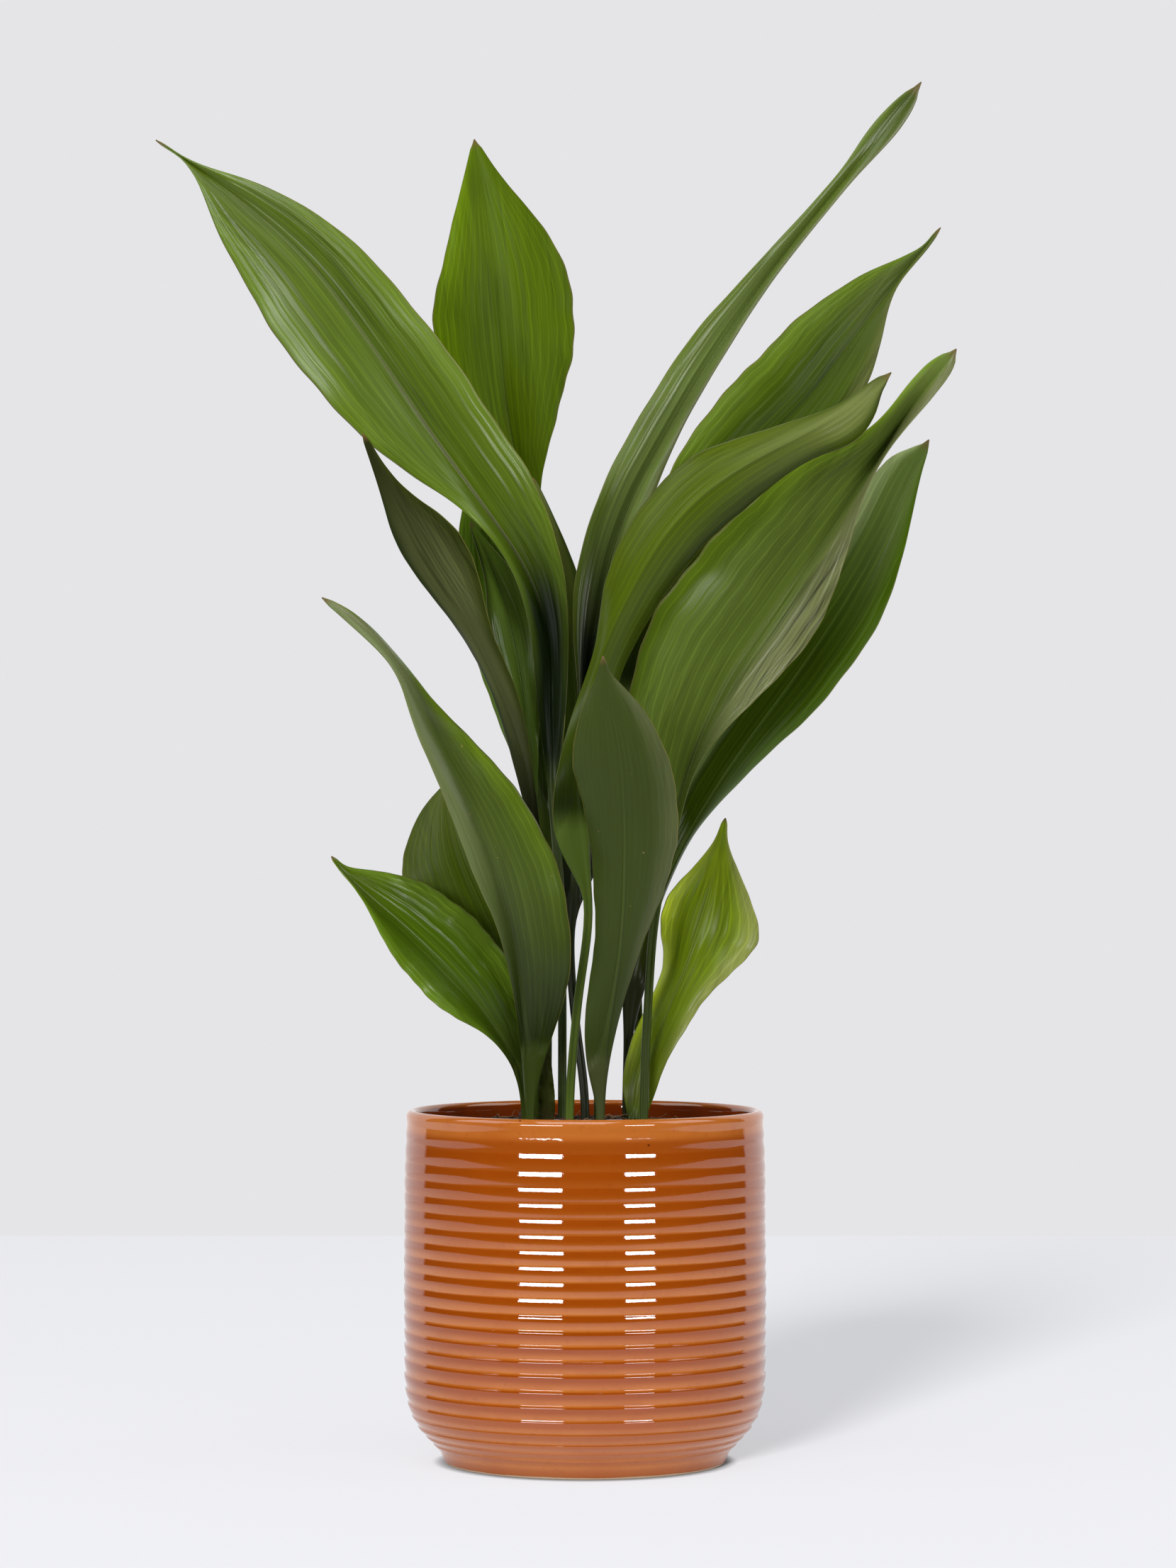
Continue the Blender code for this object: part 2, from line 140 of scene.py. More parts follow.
# Leaf surface. Light and dark are shares of the leaf's own colour.
VEIN_LIGHT, VEINLETS, VEINLET_SHARE = 0.36, 3.0, 0.3
STREAK_CONTRAST, BAND_DARK, BAND_LIGHT, PATCH_DARK = 0.5, -0.18, 0.16, -0.18
MARGIN_COLOUR, DRY_COLOUR, SPECK_COLOUR = (146, 140, 74), (112, 92, 52), (168, 140, 84)
UNDERSIDE_SHARE, ROUGH_STREAKS, ROUGHER_UNDER = 0.7, 0.16, 0.1
VEIN_HEIGHT = 0.16

# Glaze and clay, as display colours, and the three tones of each loose matter
# The second glaze colour is for the pale rib bands: partly the glaze's own paler tone, partly a painted
# reflection of the floor.
GLAZE_THICK, GLAZE_PALE_AND_REFLECTED, GLAZE_CLOUD = (150, 66, 3), (192, 110, 44), (162, 74, 8)
GLAZE_MOTTLE, GLAZE_INSIDE, PINHOLE, BARE_CLAY = (140, 58, 6), (116, 42, 4), (88, 34, 8), (206, 184, 158)
GLAZE_ROUGHNESS, GLAZE_IOR = 0.03, 1.65
SOIL_TONES = [(34, 24, 18), (62, 44, 32), (92, 68, 48)]
CRUMB_TONES = [(30, 21, 16), (66, 46, 33), (104, 76, 54)]
BARK_TONES = [(46, 28, 18), (84, 54, 34), (118, 82, 54)]
FIBRE_TONES = [(96, 66, 40), (150, 112, 72), (186, 150, 104)]


def leaf(half_width, widest, fullness, blade_from, fold, route):
    """One leaf. widest is where along the blade it is broadest and blade_from is the route's row
    where the blade starts. fold is how much of each half's spare width turns to the front (+) or to
    the back (-). Each row of the route is x, y, z and how far the left and right halves reach."""
    return {
        "half_width": half_width, "widest": widest, "fullness": fullness,
        "blade_from": blade_from, "fold": fold, "route": route,
    }


LEAVES = {
    "leaf_01": leaf(40, 0.55, 1.9, 4, (0.3, 0.4), [
        (-12, -2, 150, 0, 0), (-12, -2, 200, 0, 0), (-12, -1, 240, 0, 0), (-13, 0, 300, 0, 0),
        (-17, 0, 350, 1, 1), (-18, -2, 400, 7, 8), (-20, -6, 440, 9, 11), (-30, -16, 467, 7, 19),
        (-51, -32, 498, 7, 29), (-79, -38, 537, 25, 31), (-113, -42, 587, 37, 29),
        (-147, -42, 631, 34, 22), (-182, -40, 662, 18, 10), (-204, -38, 678, 1, 1),
        (-223, -36, 691, 1, 1),
    ]),
    "leaf_02": leaf(40, 0.5, 1.8, 4, (0.5, 0.4), [
        (7, 28, 148, 0, 0), (7, 31, 199, 0, 0), (7, 44, 320, 0, 0), (-2, 52, 390, 0, 0),
        (-18, 58, 442, 1, 1), (-33, 60, 514, 18, 9), (-43, 62, 565, 29, 32),
        (-47, 64, 606, 36, 42), (-51, 65, 647, 25, 35), (-56, 66, 683, 11, 12),
        (-60, 66, 707, 1, 1),
    ]),
    "leaf_03": leaf(25, 0.5, 1.9, 3, (-0.5, 0.5), [
        (-24, 12, 149, 0, 0), (-24, 12, 199, 0, 0), (-24, 6, 260, 0, 0), (-25, -4, 320, 1, 1),
        (-32, -20, 370, 6, 3), (-42, -34, 399, 4, 8), (-61, -48, 438, 5, 11),
        (-77, -56, 460, 6, 24), (-90, -62, 482, 8, 22), (-102, -66, 506, 3, 8),
        (-114, -68, 536, 1, 1),
    ]),
    "leaf_04": leaf(30, 0.5, 1.9, 3, (-0.5, -0.5), [
        (-20, 24, 148, 0, 0), (-20, 24, 199, 0, 0), (-20, 22, 270, 0, 1), (-24, 16, 340, 3, 9),
        (-34, 8, 400, 15, 24), (-44, 2, 450, 20, 27), (-50, -2, 490, 17, 25),
        (-50, -4, 520, 10, 14), (-48, -5, 540, 1, 1),
    ]),
    "leaf_05": leaf(20, 0.5, 1.9, 3, (0.5, 0.1), [
        (-28, 18, 149, 0, 0), (-28, 18, 199, 0, 0), (-27, 14, 260, 0, 0), (-27, 6, 320, 1, 1),
        (-30, 2, 370, 3, 5), (-33, 0, 409, 9, 10), (-40, 0, 444, 12, 17),
        (-48, -8, 468, 5, 9), (-55, -12, 484, 3, 3), (-60, -16, 494, 1, 1),
    ]),
    "leaf_06": leaf(44, 0.48, 1.8, 2, (0.45, -0.7), [
        (-29, -18, 151, 0, 0), (-29, -20, 191, 0, 2), (-31, -24, 216, 1, 11),
        (-34, -34, 251, 3, 26), (-41, -50, 291, 6, 32), (-51, -66, 325, 11, 28),
        (-65, -80, 356, 9, 20), (-82, -94, 389, 6, 8), (-94, -104, 416, 3, 2),
        (-114, -112, 437, 4, 3), (-132, -118, 449, 1, 1),
    ]),
    "leaf_07": leaf(31, 0.5, 1.8, 2, (0.8, -0.8), [
        (-31, -7, 150, 0, 0), (-31, -8, 186, 0, 0), (-34, -14, 206, 1, 2),
        (-50, -24, 233, 5, 21), (-65, -32, 253, 16, 28), (-83, -38, 272, 16, 28),
        (-99, -42, 287, 12, 24), (-114, -46, 300, 2, 15), (-125, -48, 311, 1, 3),
        (-131, -50, 319, 1, 1),
    ]),
    "leaf_08": leaf(38, 0.55, 1.6, 3, (-0.5, -0.5), [
        (-20, -4, 150, 0, 0), (-20, -4, 190, 0, 0), (-23, -6, 215, 0, 0), (-30, -9, 235, 1, 5),
        (-44, -12, 270, 24, 26), (-58, -14, 300, 33, 32), (-68, -12, 325, 31, 30),
        (-72, -11, 343, 16, 22), (-73, -10, 357, 1, 1),
    ]),
    "leaf_09": leaf(33, 0.45, 1.9, 3, (0.35, 0.35), [
        (8, 12, 149, 0, 0), (8, 13, 199, 0, 0), (9, 15, 280, 0, 0), (6, 18, 320, 1, 1),
        (1, 20, 360, 1, 2), (0, 24, 401, 3, 12), (8, 32, 452, 15, 12), (22, 40, 503, 17, 11),
        (41, 46, 539, 18, 6), (66, 54, 583, 16, 5), (97, 62, 630, 9, 4), (132, 70, 675, 5, 4),
        (146, 73, 692, 5, 4), (158, 75, 706, 8, 5), (171, 77, 723, 7, 6), (183, 78, 740, 1, 1),
    ]),
    "leaf_10": leaf(36, 0.5, 1.8, 4, (0.4, 0.4), [
        (29, 20, 149, 0, 0), (29, 24, 199, 0, 0), (27, 34, 290, 0, 0), (26, 28, 350, 0, 0),
        (27, 12, 401, 9, 3), (38, 0, 451, 16, 20), (56, 0, 490, 23, 28), (84, 4, 525, 33, 29),
        (116, 8, 556, 36, 24), (141, 12, 590, 30, 16), (164, 16, 622, 14, 1),
        (177, 18, 638, 2, 2), (189, 20, 653, 1, 1),
    ]),
    "leaf_11": leaf(33, 0.5, 1.9, 4, (-0.8, -0.8), [
        (-8, -12, 151, 0, 0), (-8, -13, 191, 0, 0), (-4, -18, 241, 0, 0), (2, -30, 295, 0, 0),
        (-3, -38, 330, 13, 5), (-3, -52, 379, 7, 13), (8, -64, 422, 4, 13),
        (23, -74, 454, 16, 16), (41, -82, 483, 19, 18), (62, -88, 505, 20, 19),
        (85, -92, 520, 14, 16), (111, -95, 533, 9, 12), (134, -97, 546, 4, 17),
        (146, -98, 556, 4, 5), (155, -98, 564, 1, 1),
    ]),
    "leaf_12": leaf(48, 0.5, 1.9, 4, (0.5, 0.6), [
        (31, -12, 151, 0, 0), (31, -12, 191, 0, 0), (33, -13, 240, 0, 0), (37, -14, 290, 0, 0),
        (43, -16, 320, 3, 2), (56, -21, 368, 36, 2), (74, -28, 409, 50, 16),
        (96, -35, 443, 50, 24), (118, -41, 475, 43, 18), (139, -46, 505, 34, 5),
        (157, -50, 532, 13, 1), (166, -53, 548, 8, 5), (178, -56, 563, 9, 6),
        (185, -58, 571, 7, 5), (191, -60, 580, 1, 1),
    ]),
    "leaf_13": leaf(29, 0.5, 1.8, 3, (-0.8, -0.35), [
        (22, 16, 149, 0, 0), (22, 16, 189, 0, 0), (23, 16, 224, 1, 1), (24, 15, 250, 4, 8),
        (36, 12, 288, 8, 1), (52, 8, 325, 17, 1), (78, 2, 368, 22, 10), (112, -4, 415, 24, 20),
        (141, -10, 459, 21, 20), (163, -14, 499, 19, 9), (172, -16, 519, 18, 4),
        (177, -17, 529, 8, 2), (180, -18, 537, 1, 1),
    ]),
    "leaf_14": leaf(29, 0.55, 1.5, 2, (-0.6, -0.6), [
        (8, -26, 152, 0, 0), (8, -27, 185, 0, 0), (9, -32, 208, 8, 2), (13, -40, 237, 13, 5),
        (18, -54, 271, 13, 11), (20, -67, 306, 16, 23), (20, -80, 340, 20, 28),
        (18, -94, 370, 25, 23), (13, -104, 397, 15, 12), (11, -108, 408, 6, 3),
        (9, -112, 420, 1, 1),
    ]),
    "leaf_15": leaf(31, 0.55, 1.5, 1, (-0.7, 0.7), [
        (27, -2, 150, 0, 0), (27, -2, 179, 2, 2), (28, -2, 190, 9, 8), (32, -1, 205, 12, 7),
        (40, 0, 228, 12, 11), (52, 0, 258, 10, 18), (61, 0, 285, 23, 35), (68, 0, 308, 13, 16),
        (71, 0, 322, 5, 5), (74, 0, 339, 1, 1),
    ]),
    "leaf_16": leaf(17, 0.5, 1.5, 4, (-0.5, -0.5), [
        (0, 3, 150, 0, 0), (0, 4, 190, 0, 0), (-6, 9, 240, 0, 0), (-8, 16, 275, 0, 0),
        (-7, 21, 290, 2, 2), (-6, 26, 308, 7, 11), (-4, 36, 360, 14, 14), (-5, 42, 411, 15, 13),
        (-10, 44, 461, 14, 9), (-18, 44, 497, 9, 3), (-28, 44, 522, 1, 1),
    ]),
    "sheath": leaf(9, 0.4, 1.0, 0, (-0.5, -0.5), [
        (-20, -10, 179, 3, 3), (-20, -11, 190, 4, 4), (-21, -12, 205, 4, 4), (-21, -13, 222, 1, 1),
    ]),
}


def srgb(red, green, blue):
    """A display colour, each channel 0 to 255, as linear light."""
    share = np.array([red, green, blue]) / 255
    linear = np.where(share > 0.04045, ((share + 0.055) / 1.055) ** 2.4, share / 12.92)
    return tuple(float(channel) for channel in linear)


def look(middle, base, tip, left=None, right=None, zones=(0.45, 0.45), rib=(100, 120, 56),
         rib_share=0.35, rib_reach=1.0, upper=1, stalk=(56, 70, 22), underside=(58, 72, 30),
         streaks=(0.4, 0.4), relief=(0.6, 0.6), roughness=0.3, gloss=0.2, veins=9.0, specks=0.0,
         sides_from=(0.05, 0.4), base_to=(0.0, 0.42)):
    """How one leaf looks, with colours as display colours. left and right tint the zones by the two
    margins, which start zones' shares out from the midrib. rib_reach is the pale midrib's half-width in
    stalk widths. upper is 1 where the leaf's upper face is turned to the front and -1 where its underside
    is. streaks and relief are how strongly the left and right halves are streaked and pleated, gloss how
    much the surface reflects, and veins how many veins each half has. Along the blade, the tints by the
    margins fade in over sides_from and the base colour gives way to the middle one over base_to. The base
    colour is mostly painted shade, a few margin tints are painted sheen, and one is painted shade."""
    return {
        "middle": middle, "base": base, "tip": tip, "left": left or middle, "right": right or middle,
        "zones": zones, "rib": rib, "rib_share": rib_share, "rib_reach": rib_reach, "upper": upper,
        "stalk": stalk, "underside": underside, "streaks": streaks, "relief": relief,
        "roughness": roughness, "gloss": gloss, "veins": veins, "specks": specks,
        "sides_from": sides_from, "base_to": base_to,
    }


# Leaf colours. The base colours are mostly painted shade, darkest on the leaves deep in the clump. The
# margin tints noted below are painted sheen, apart from leaf_11's painted shade.
LOOKS = {
    # leaf_01: the nearly black base is painted shade from the leaves in front of it.
    "leaf_01": look((82, 104, 18), (14, 28, 2), (86, 106, 24), left=(97, 123, 24), right=(100, 124, 32),
        rib=(122, 122, 94), rib_share=0.8, rib_reach=1.6, relief=(0.5, 1.2),
        streaks=(0.25, 0.5), gloss=0.34, base_to=(0.22, 0.37)),
    "leaf_02": look((78, 100, 5), (38, 52, 6), (85, 109, 6), left=(98, 126, 6), relief=(0.3, 0.3),
        roughness=0.38, gloss=0.06),
    "leaf_03": look((80, 86, 50), (10, 12, 4), (39, 44, 18), left=(40, 52, 18), right=(52, 60, 20),
        streaks=(0.9, 0.9), rib_share=0.2, gloss=0.01, veins=5.0),
    "leaf_04": look((72, 100, 10), (33, 40, 14), (76, 102, 12), left=(80, 108, 12), gloss=0.12),
    "leaf_05": look((84, 108, 34), (14, 18, 6), (104, 132, 38), left=(52, 66, 12)),
    # leaf_06: the pale left tint is a painted sheen where that half is seen edge-on.
    "leaf_06": look((74, 91, 30), (34, 46, 6), (120, 126, 84), left=(112, 124, 76), right=(96, 120, 14),
        zones=(-0.15, 0.45), specks=0.6, relief=(1.0, 0.4), streaks=(1.0, 0.2),
        rib=(98, 114, 48), gloss=0.24, sides_from=(0.15, 0.6)),
    "leaf_07": look((68, 94, 6), (50, 62, 14), (80, 101, 10), left=(100, 130, 28), right=(102, 130, 34),
        roughness=0.25, veins=7.0),
    "leaf_08": look((63, 81, 6), (52, 66, 10), (86, 99, 36), left=(74, 87, 32), streaks=(0.2, 0.2),
        rib_share=0.15, relief=(0.3, 0.3), roughness=0.38, gloss=0.08),
    # leaf_09: the nearly black base is painted shade, and the pale right tint is a painted sheen.
    "leaf_09": look((104, 122, 58), (5, 11, 1), (74, 92, 12), left=(94, 114, 32), right=(100, 108, 60),
        gloss=0.35, veins=4.0, base_to=(0.22, 0.4)),
    # leaf_10: the dark base is painted shade, and the greyish tip is a painted sheen.
    "leaf_10": look((57, 76, 4), (20, 28, 4), (88, 103, 46), left=(93, 117, 27), right=(91, 99, 50),
        relief=(0.4, 0.8), gloss=0.08),
    # leaf_11: the darker right half is painted shade, and the greyish tip is a painted sheen.
    "leaf_11": look((77, 96, 8), (28, 40, 4), (116, 128, 66), left=(82, 99, 18), right=(54, 68, 6),
        stalk=(84, 104, 38), rib=(95, 112, 40), rib_share=0.15, relief=(0.3, 0.3), streaks=(0.3, 0.3),
        gloss=0.14, veins=6.0),
    # leaf_12: the pale right half is partly its turned underside's own colour and partly a painted silvery
    # sheen.
    "leaf_12": look((88, 107, 37), (78, 96, 26), (104, 123, 52), left=(110, 138, 30), right=(112, 118, 72),
        zones=(0.5, 0.02), rib=(124, 133, 82), relief=(0.3, 1.4), streaks=(0.2, 1.3), gloss=0.28),
    "leaf_13": look((54, 74, 6), (38, 45, 6), (101, 123, 55), left=(150, 168, 108), right=(72, 100, 8),
        stalk=(36, 39, 20), roughness=0.25, gloss=0.14, veins=5.0),
    # leaf_14: the pale right margin tint is a painted silvery sheen.
    "leaf_14": look((57, 71, 14), (36, 47, 5), (71, 83, 32), left=(68, 82, 29), right=(122, 126, 86),
        rib_share=0.15, upper=-1, specks=0.5, streaks=(0.15, 0.3), relief=(0.3, 0.6),
        underside=(57, 71, 20), roughness=0.36, stalk=(70, 78, 40)),
    "leaf_15": look((104, 126, 10), (88, 105, 16), (150, 176, 32), left=(186, 206, 46), right=(135, 144, 70),
        veins=6.0),
    "leaf_16": look((56, 72, 12), (10, 16, 3), (108, 120, 54), stalk=(34, 40, 18), veins=4.0),
    "sheath": look((46, 54, 9), (42, 38, 8), (62, 56, 26), rib_share=0.0, stalk=(50, 44, 20),
        roughness=0.6, streaks=(0.9, 0.9), gloss=0.1, veins=3.0),
}


def unit(vectors):
    return vectors / np.linalg.norm(vectors, axis=-1, keepdims=True)


def smooth(low, high, values):
    """0 below low, 1 above high, and an even curve between them."""
    share = np.clip((values - low) / (high - low), 0, 1)
    return share * share * (3 - 2 * share)


def make_object(name, points, faces, material):
    """A smooth mesh object from points in millimetres, which rides on the plant's one body."""
    mesh = bpy.data.meshes.new(name)
    mesh.from_pydata((np.asarray(points) * MM).tolist(), [], faces)
    mesh.shade_smooth()
    mesh.materials.append(material)
    made = bpy.data.objects.new(name, mesh)
    bpy.context.scene.collection.objects.link(made)
    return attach(made, "root")


def grid_faces(rows, sides, first=0):
    """Faces between closed rings of points, one ring after another."""
    ring = np.arange(sides)
    low = first + np.arange(rows - 1)[:, None] * sides + ring
    high = low - ring + (ring + 1) % sides
    return np.stack([low, high, high + sides, low + sides], axis=-1).reshape(-1, 4).tolist()


# Materials


def new_material(name):
    made = bpy.data.materials.new(name)
    made.use_nodes = True
    return made, made.node_tree, made.node_tree.nodes["Principled BSDF"]


def add(tree, kind, values=(), **settings):
    """A shader node with its settings. values pair each input with a number, a colour or a node's output."""
    made = tree.nodes.new("ShaderNode" + kind)
    for key, value in settings.items():
        setattr(made, key, value)
    for key, value in values:
        if isinstance(value, bpy.types.NodeSocket):
            tree.links.new(value, made.inputs[key])
        else:
            made.inputs[key].default_value = value
    return made


def maths(tree, operation, *values):
    return add(tree, "Math", enumerate(values), operation=operation).outputs[0]


def times(tree, first, second):
    return maths(tree, "MULTIPLY", first, second)


def step(tree, value, low, high):
    """The same as smooth, as a node. low may be above high."""
    values = [("Value", value), ("From Min", low), ("From Max", high)]
    return add(tree, "MapRange", values, interpolation_type="SMOOTHSTEP").outputs[0]


def blend(tree, share, first, second):
    values = [(0, share), (6, colour_of(first)), (7, colour_of(second))]
    return add(tree, "Mix", values, data_type="RGBA").outputs[2]


def colour_of(value):
    return value if isinstance(value, bpy.types.NodeSocket) else (*srgb(*value), 1.0)


def noise(tree, vector, scale, detail=3.0, roughness=0.5):
    values = [("Vector", vector), ("Scale", scale), ("Detail", detail), ("Roughness", roughness)]
    return add(tree, "TexNoise", values).outputs["Fac"]


def combine(tree, x, y, z):
    return add(tree, "CombineXYZ", enumerate((x, y, z))).outputs[0]


def parts_of(tree, attribute):
    """The three numbers of a vector attribute."""
    vector = add(tree, "Attribute", attribute_name=attribute).outputs["Vector"]
    return add(tree, "SeparateXYZ", [(0, vector)]).outputs


def scaled(tree, colour, share):
    return add(tree, "VectorMath", [(0, colour), (3, share)], operation="SCALE").outputs[0]


def leaf_shade(tree, vein, broad, fine, patches, drawn):
    """How light each spot is beside its leaf's own colour: pale veins, streaks and broad soft bands."""
    shade = maths(tree, "MULTIPLY_ADD", vein, VEIN_LIGHT, 1.0)
    bands = (
        (times(tree, step(tree, fine, 0.52, 0.3), drawn), -STREAK_CONTRAST),
        (times(tree, step(tree, fine, 0.54, 0.78), drawn), STREAK_CONTRAST),
        (step(tree, broad, 0.48, 0.28), BAND_DARK),
        (step(tree, broad, 0.5, 0.72), BAND_LIGHT),
        (step(tree, patches, 0.5, 0.3), PATCH_DARK),
    )
    for band, share in bands:
        shade = maths(tree, "MULTIPLY_ADD", band, share, shade)
    return shade


def leaf_material(name, colours, seed):
    """A waxy leaf. Its mesh holds "blade" (share across, share along, length in decimetres), "rib"
    (distance from the midrib in rib widths, how much of a stalk it is, and 1 on the upper face and -1 on
    the underside) and "spread" (distance from the midrib as seen from the front, below 0 on the left, and
    that half's reach)."""
    made, tree, shader = new_material(f"{name} surface")
    across, along, length = parts_of(tree, "blade")
    from_rib, stalk, face = parts_of(tree, "rib")
    lateral, breadth, _ = parts_of(tree, "spread")
    fine = long_noise(tree, lateral, 0.8, length, seed, 1.0, 2.0, 0.6)
    broad = long_noise(tree, lateral, 0.25, length, seed + 7.0, 1.0, 2.0)
    patches = long_noise(tree, lateral, 0.05, length, seed + 3.0, 1.6, 3.0)
    clear = step(tree, breadth, 8.0, 22.0)
    from_vein, lines = leaf_veins(tree, across, breadth, broad, clear, colours["veins"])
    drawn = times(tree, clear, between_halves(tree, across, colours["streaks"]))
    underneath = step(tree, face, 0.02, -0.02)

    colour = leaf_zones(tree, across, along, colours)
    colour = scaled(tree, colour, leaf_shade(tree, lines, broad, fine, patches, drawn))
    colour = blend(tree, times(tree, underneath, UNDERSIDE_SHARE), colour, colours["underside"])
    colour = blend(tree, midrib(tree, from_rib, along, colours), colour, colours["rib"])
    colour = blend(tree, stalk, colour, colours["stalk"])
    colour = leaf_edges(tree, colour, across, along, stalk)
    if colours["specks"]:
        place = combine(tree, times(tree, lateral, 0.35), times(tree, length, 30.0), seed)
        spots = step(tree, noise(tree, place, 1.0, 1.0), 0.78, 0.8)
        colour = blend(tree, times(tree, spots, colours["specks"]), colour, SPECK_COLOUR)
    tree.links.new(colour, shader.inputs["Base Color"])

    rough = maths(tree, "MULTIPLY_ADD", fine, ROUGH_STREAKS, colours["roughness"] - 0.07)
    rough = maths(tree, "MULTIPLY_ADD", underneath, ROUGHER_UNDER, rough)
    tree.links.new(rough, shader.inputs["Roughness"])
    shader.inputs["Specular IOR Level"].default_value = colours["gloss"]
    ridges = maths(tree, "MULTIPLY_ADD", step(tree, from_vein, 0.0, 0.3), 0.6, fine)
    raised = [("Height", ridges), ("Strength", times(tree, clear, 0.5)), ("Distance", VEIN_HEIGHT * MM)]
    tree.links.new(add(tree, "Bump", raised).outputs[0], shader.inputs["Normal"])
    return made


def long_noise(tree, lateral, crowding, length, seed, scale, detail, roughness=0.5):
    """Noise that is drawn out along the leaf. crowding is how closely it changes across, per millimetre."""
    return noise(tree, combine(tree, times(tree, lateral, crowding), length, seed), scale, detail, roughness)


def between_halves(tree, across, shares):
    """The left half's share on the left of the midrib and the right half's on the right."""
    on_left, on_right = shares
    return maths(tree, "MULTIPLY_ADD", step(tree, across, -0.05, 0.05), on_right - on_left, on_left)


def leaf_veins(tree, across, breadth, broad, clear, count):
    """How far each spot is from a vein, and how strongly a vein or a finer one between two is drawn there.
    count is how many veins each half has. They fade out where the half is narrow."""
    drift = maths(tree, "MULTIPLY_ADD", broad, 0.15, times(tree, across, count))
    from_vein = maths(tree, "PINGPONG", drift, 0.5)
    between = maths(tree, "PINGPONG", times(tree, drift, VEINLETS), 0.5)
    vein = times(tree, step(tree, from_vein, 0.17, 0.03), times(tree, clear, 0.8))
    faint = times(tree, step(tree, breadth, 18.0, 34.0), VEINLET_SHARE)
    veinlet = times(tree, step(tree, between, 0.2, 0.02), faint)
    return from_vein, maths(tree, "MAXIMUM", vein, veinlet)


def leaf_zones(tree, across, along, colours):
    """The leaf's colour from base to tip, with its tints by the two margins. The base colour is mostly
    painted shade, a few margin tints are painted sheen, and one is painted shade.
    """
    colour = blend(tree, step(tree, along, *colours["base_to"]), colours["base"], colours["middle"])
    colour = blend(tree, step(tree, along, 0.6, 1.0), colour, colours["tip"])
    above_base = step(tree, along, *colours["sides_from"])
    for side, sign, start in (("left", -1, colours["zones"][0]), ("right", 1, colours["zones"][1])):
        share = times(tree, above_base, step(tree, across, sign * start, sign * (start + 0.5)))
        colour = blend(tree, share, colour, colours[side])
    return colour


def midrib(tree, from_rib, along, colours):
    """How strongly the pale midrib shows. It fades in where the base's painted shade gives way, and out
    towards the tip.
    """
    rib = times(tree, step(tree, from_rib, colours["rib_reach"], 0.4), colours["rib_share"])
    rib = times(tree, rib, maths(tree, "MULTIPLY_ADD", step(tree, along, 0.4, 0.8), -0.7, 1.0))
    base_from = colours["base_to"][0]
    return times(tree, rib, step(tree, along, base_from - 0.02, base_from + 0.15))


def leaf_edges(tree, colour, across, along, stalk):
    """The colour with the blade's thin yellow margin and its dry tip."""
    on_blade = maths(tree, "SUBTRACT", 1.0, stalk)
    reach = maths(tree, "ABSOLUTE", across)
    margin = times(tree, step(tree, reach, 0.972, 0.995), times(tree, on_blade, 0.7))
    colour = blend(tree, margin, colour, MARGIN_COLOUR)
    return blend(tree, times(tree, step(tree, along, 0.975, 0.998), 0.85), colour, DRY_COLOUR)


def glaze_material():
    """Amber glaze with pale bands on the ribs' down-facing flanks and on the curve into the foot, partly the
    glaze's own paler tone and partly a painted reflection of the pale floor, with a bare foot, a few
    pinholes and a darker inside.
    """
    made, tree, shader = new_material("amber glaze")
    thin, height, inside = parts_of(tree, "glaze")
    place = add(tree, "NewGeometry").outputs["Position"]
    cloud = noise(tree, place, 28.0, 4.0, 0.55)
    mottle = noise(tree, place, 260.0, 3.0, 0.6)
    # Pale rib bands: partly the glaze's own paler tone, partly a painted reflection of the floor on
    # down-facing faces.
    colour = blend(tree, thin, GLAZE_THICK, GLAZE_PALE_AND_REFLECTED)
    colour = blend(tree, times(tree, step(tree, cloud, 0.4, 0.65), 0.3), colour, GLAZE_CLOUD)
    colour = blend(tree, times(tree, step(tree, mottle, 0.55, 0.75), 0.2), colour, GLAZE_MOTTLE)
    colour = blend(tree, times(tree, inside, 0.85), colour, GLAZE_INSIDE)
    bare = step(tree, maths(tree, "MULTIPLY_ADD", cloud, 1.2, height), 2.0, 1.5)
    colour = blend(tree, bare, colour, BARE_CLAY)
    pits = add(tree, "TexVoronoi", [("Vector", place), ("Scale", 62.0)], feature="F1")
    lone = step(tree, add(tree, "SeparateXYZ", [(0, pits.outputs["Color"])]).outputs[0], 0.93, 0.94)
    pinhole = times(tree, step(tree, pits.outputs["Distance"], 0.055, 0.03), lone)
    colour = blend(tree, times(tree, pinhole, 0.8), colour, PINHOLE)
    tree.links.new(colour, shader.inputs["Base Color"])
    tree.links.new(maths(tree, "MULTIPLY_ADD", bare, 0.6, 0.2), shader.inputs["Roughness"])
    tree.links.new(maths(tree, "SUBTRACT", 1.0, bare), shader.inputs["Coat Weight"])
    shader.inputs["Specular IOR Level"].default_value = 0.0
    shader.inputs["Coat Roughness"].default_value = GLAZE_ROUGHNESS
    shader.inputs["Coat IOR"].default_value = GLAZE_IOR
    bump = maths(tree, "MULTIPLY_ADD", pinhole, -3.0, mottle)
    skin = add(tree, "Bump", [("Height", bump), ("Strength", 0.12), ("Distance", 0.2 * MM)])
    tree.links.new(skin.outputs[0], shader.inputs["Normal"])
    tree.links.new(skin.outputs[0], shader.inputs["Coat Normal"])
    return made


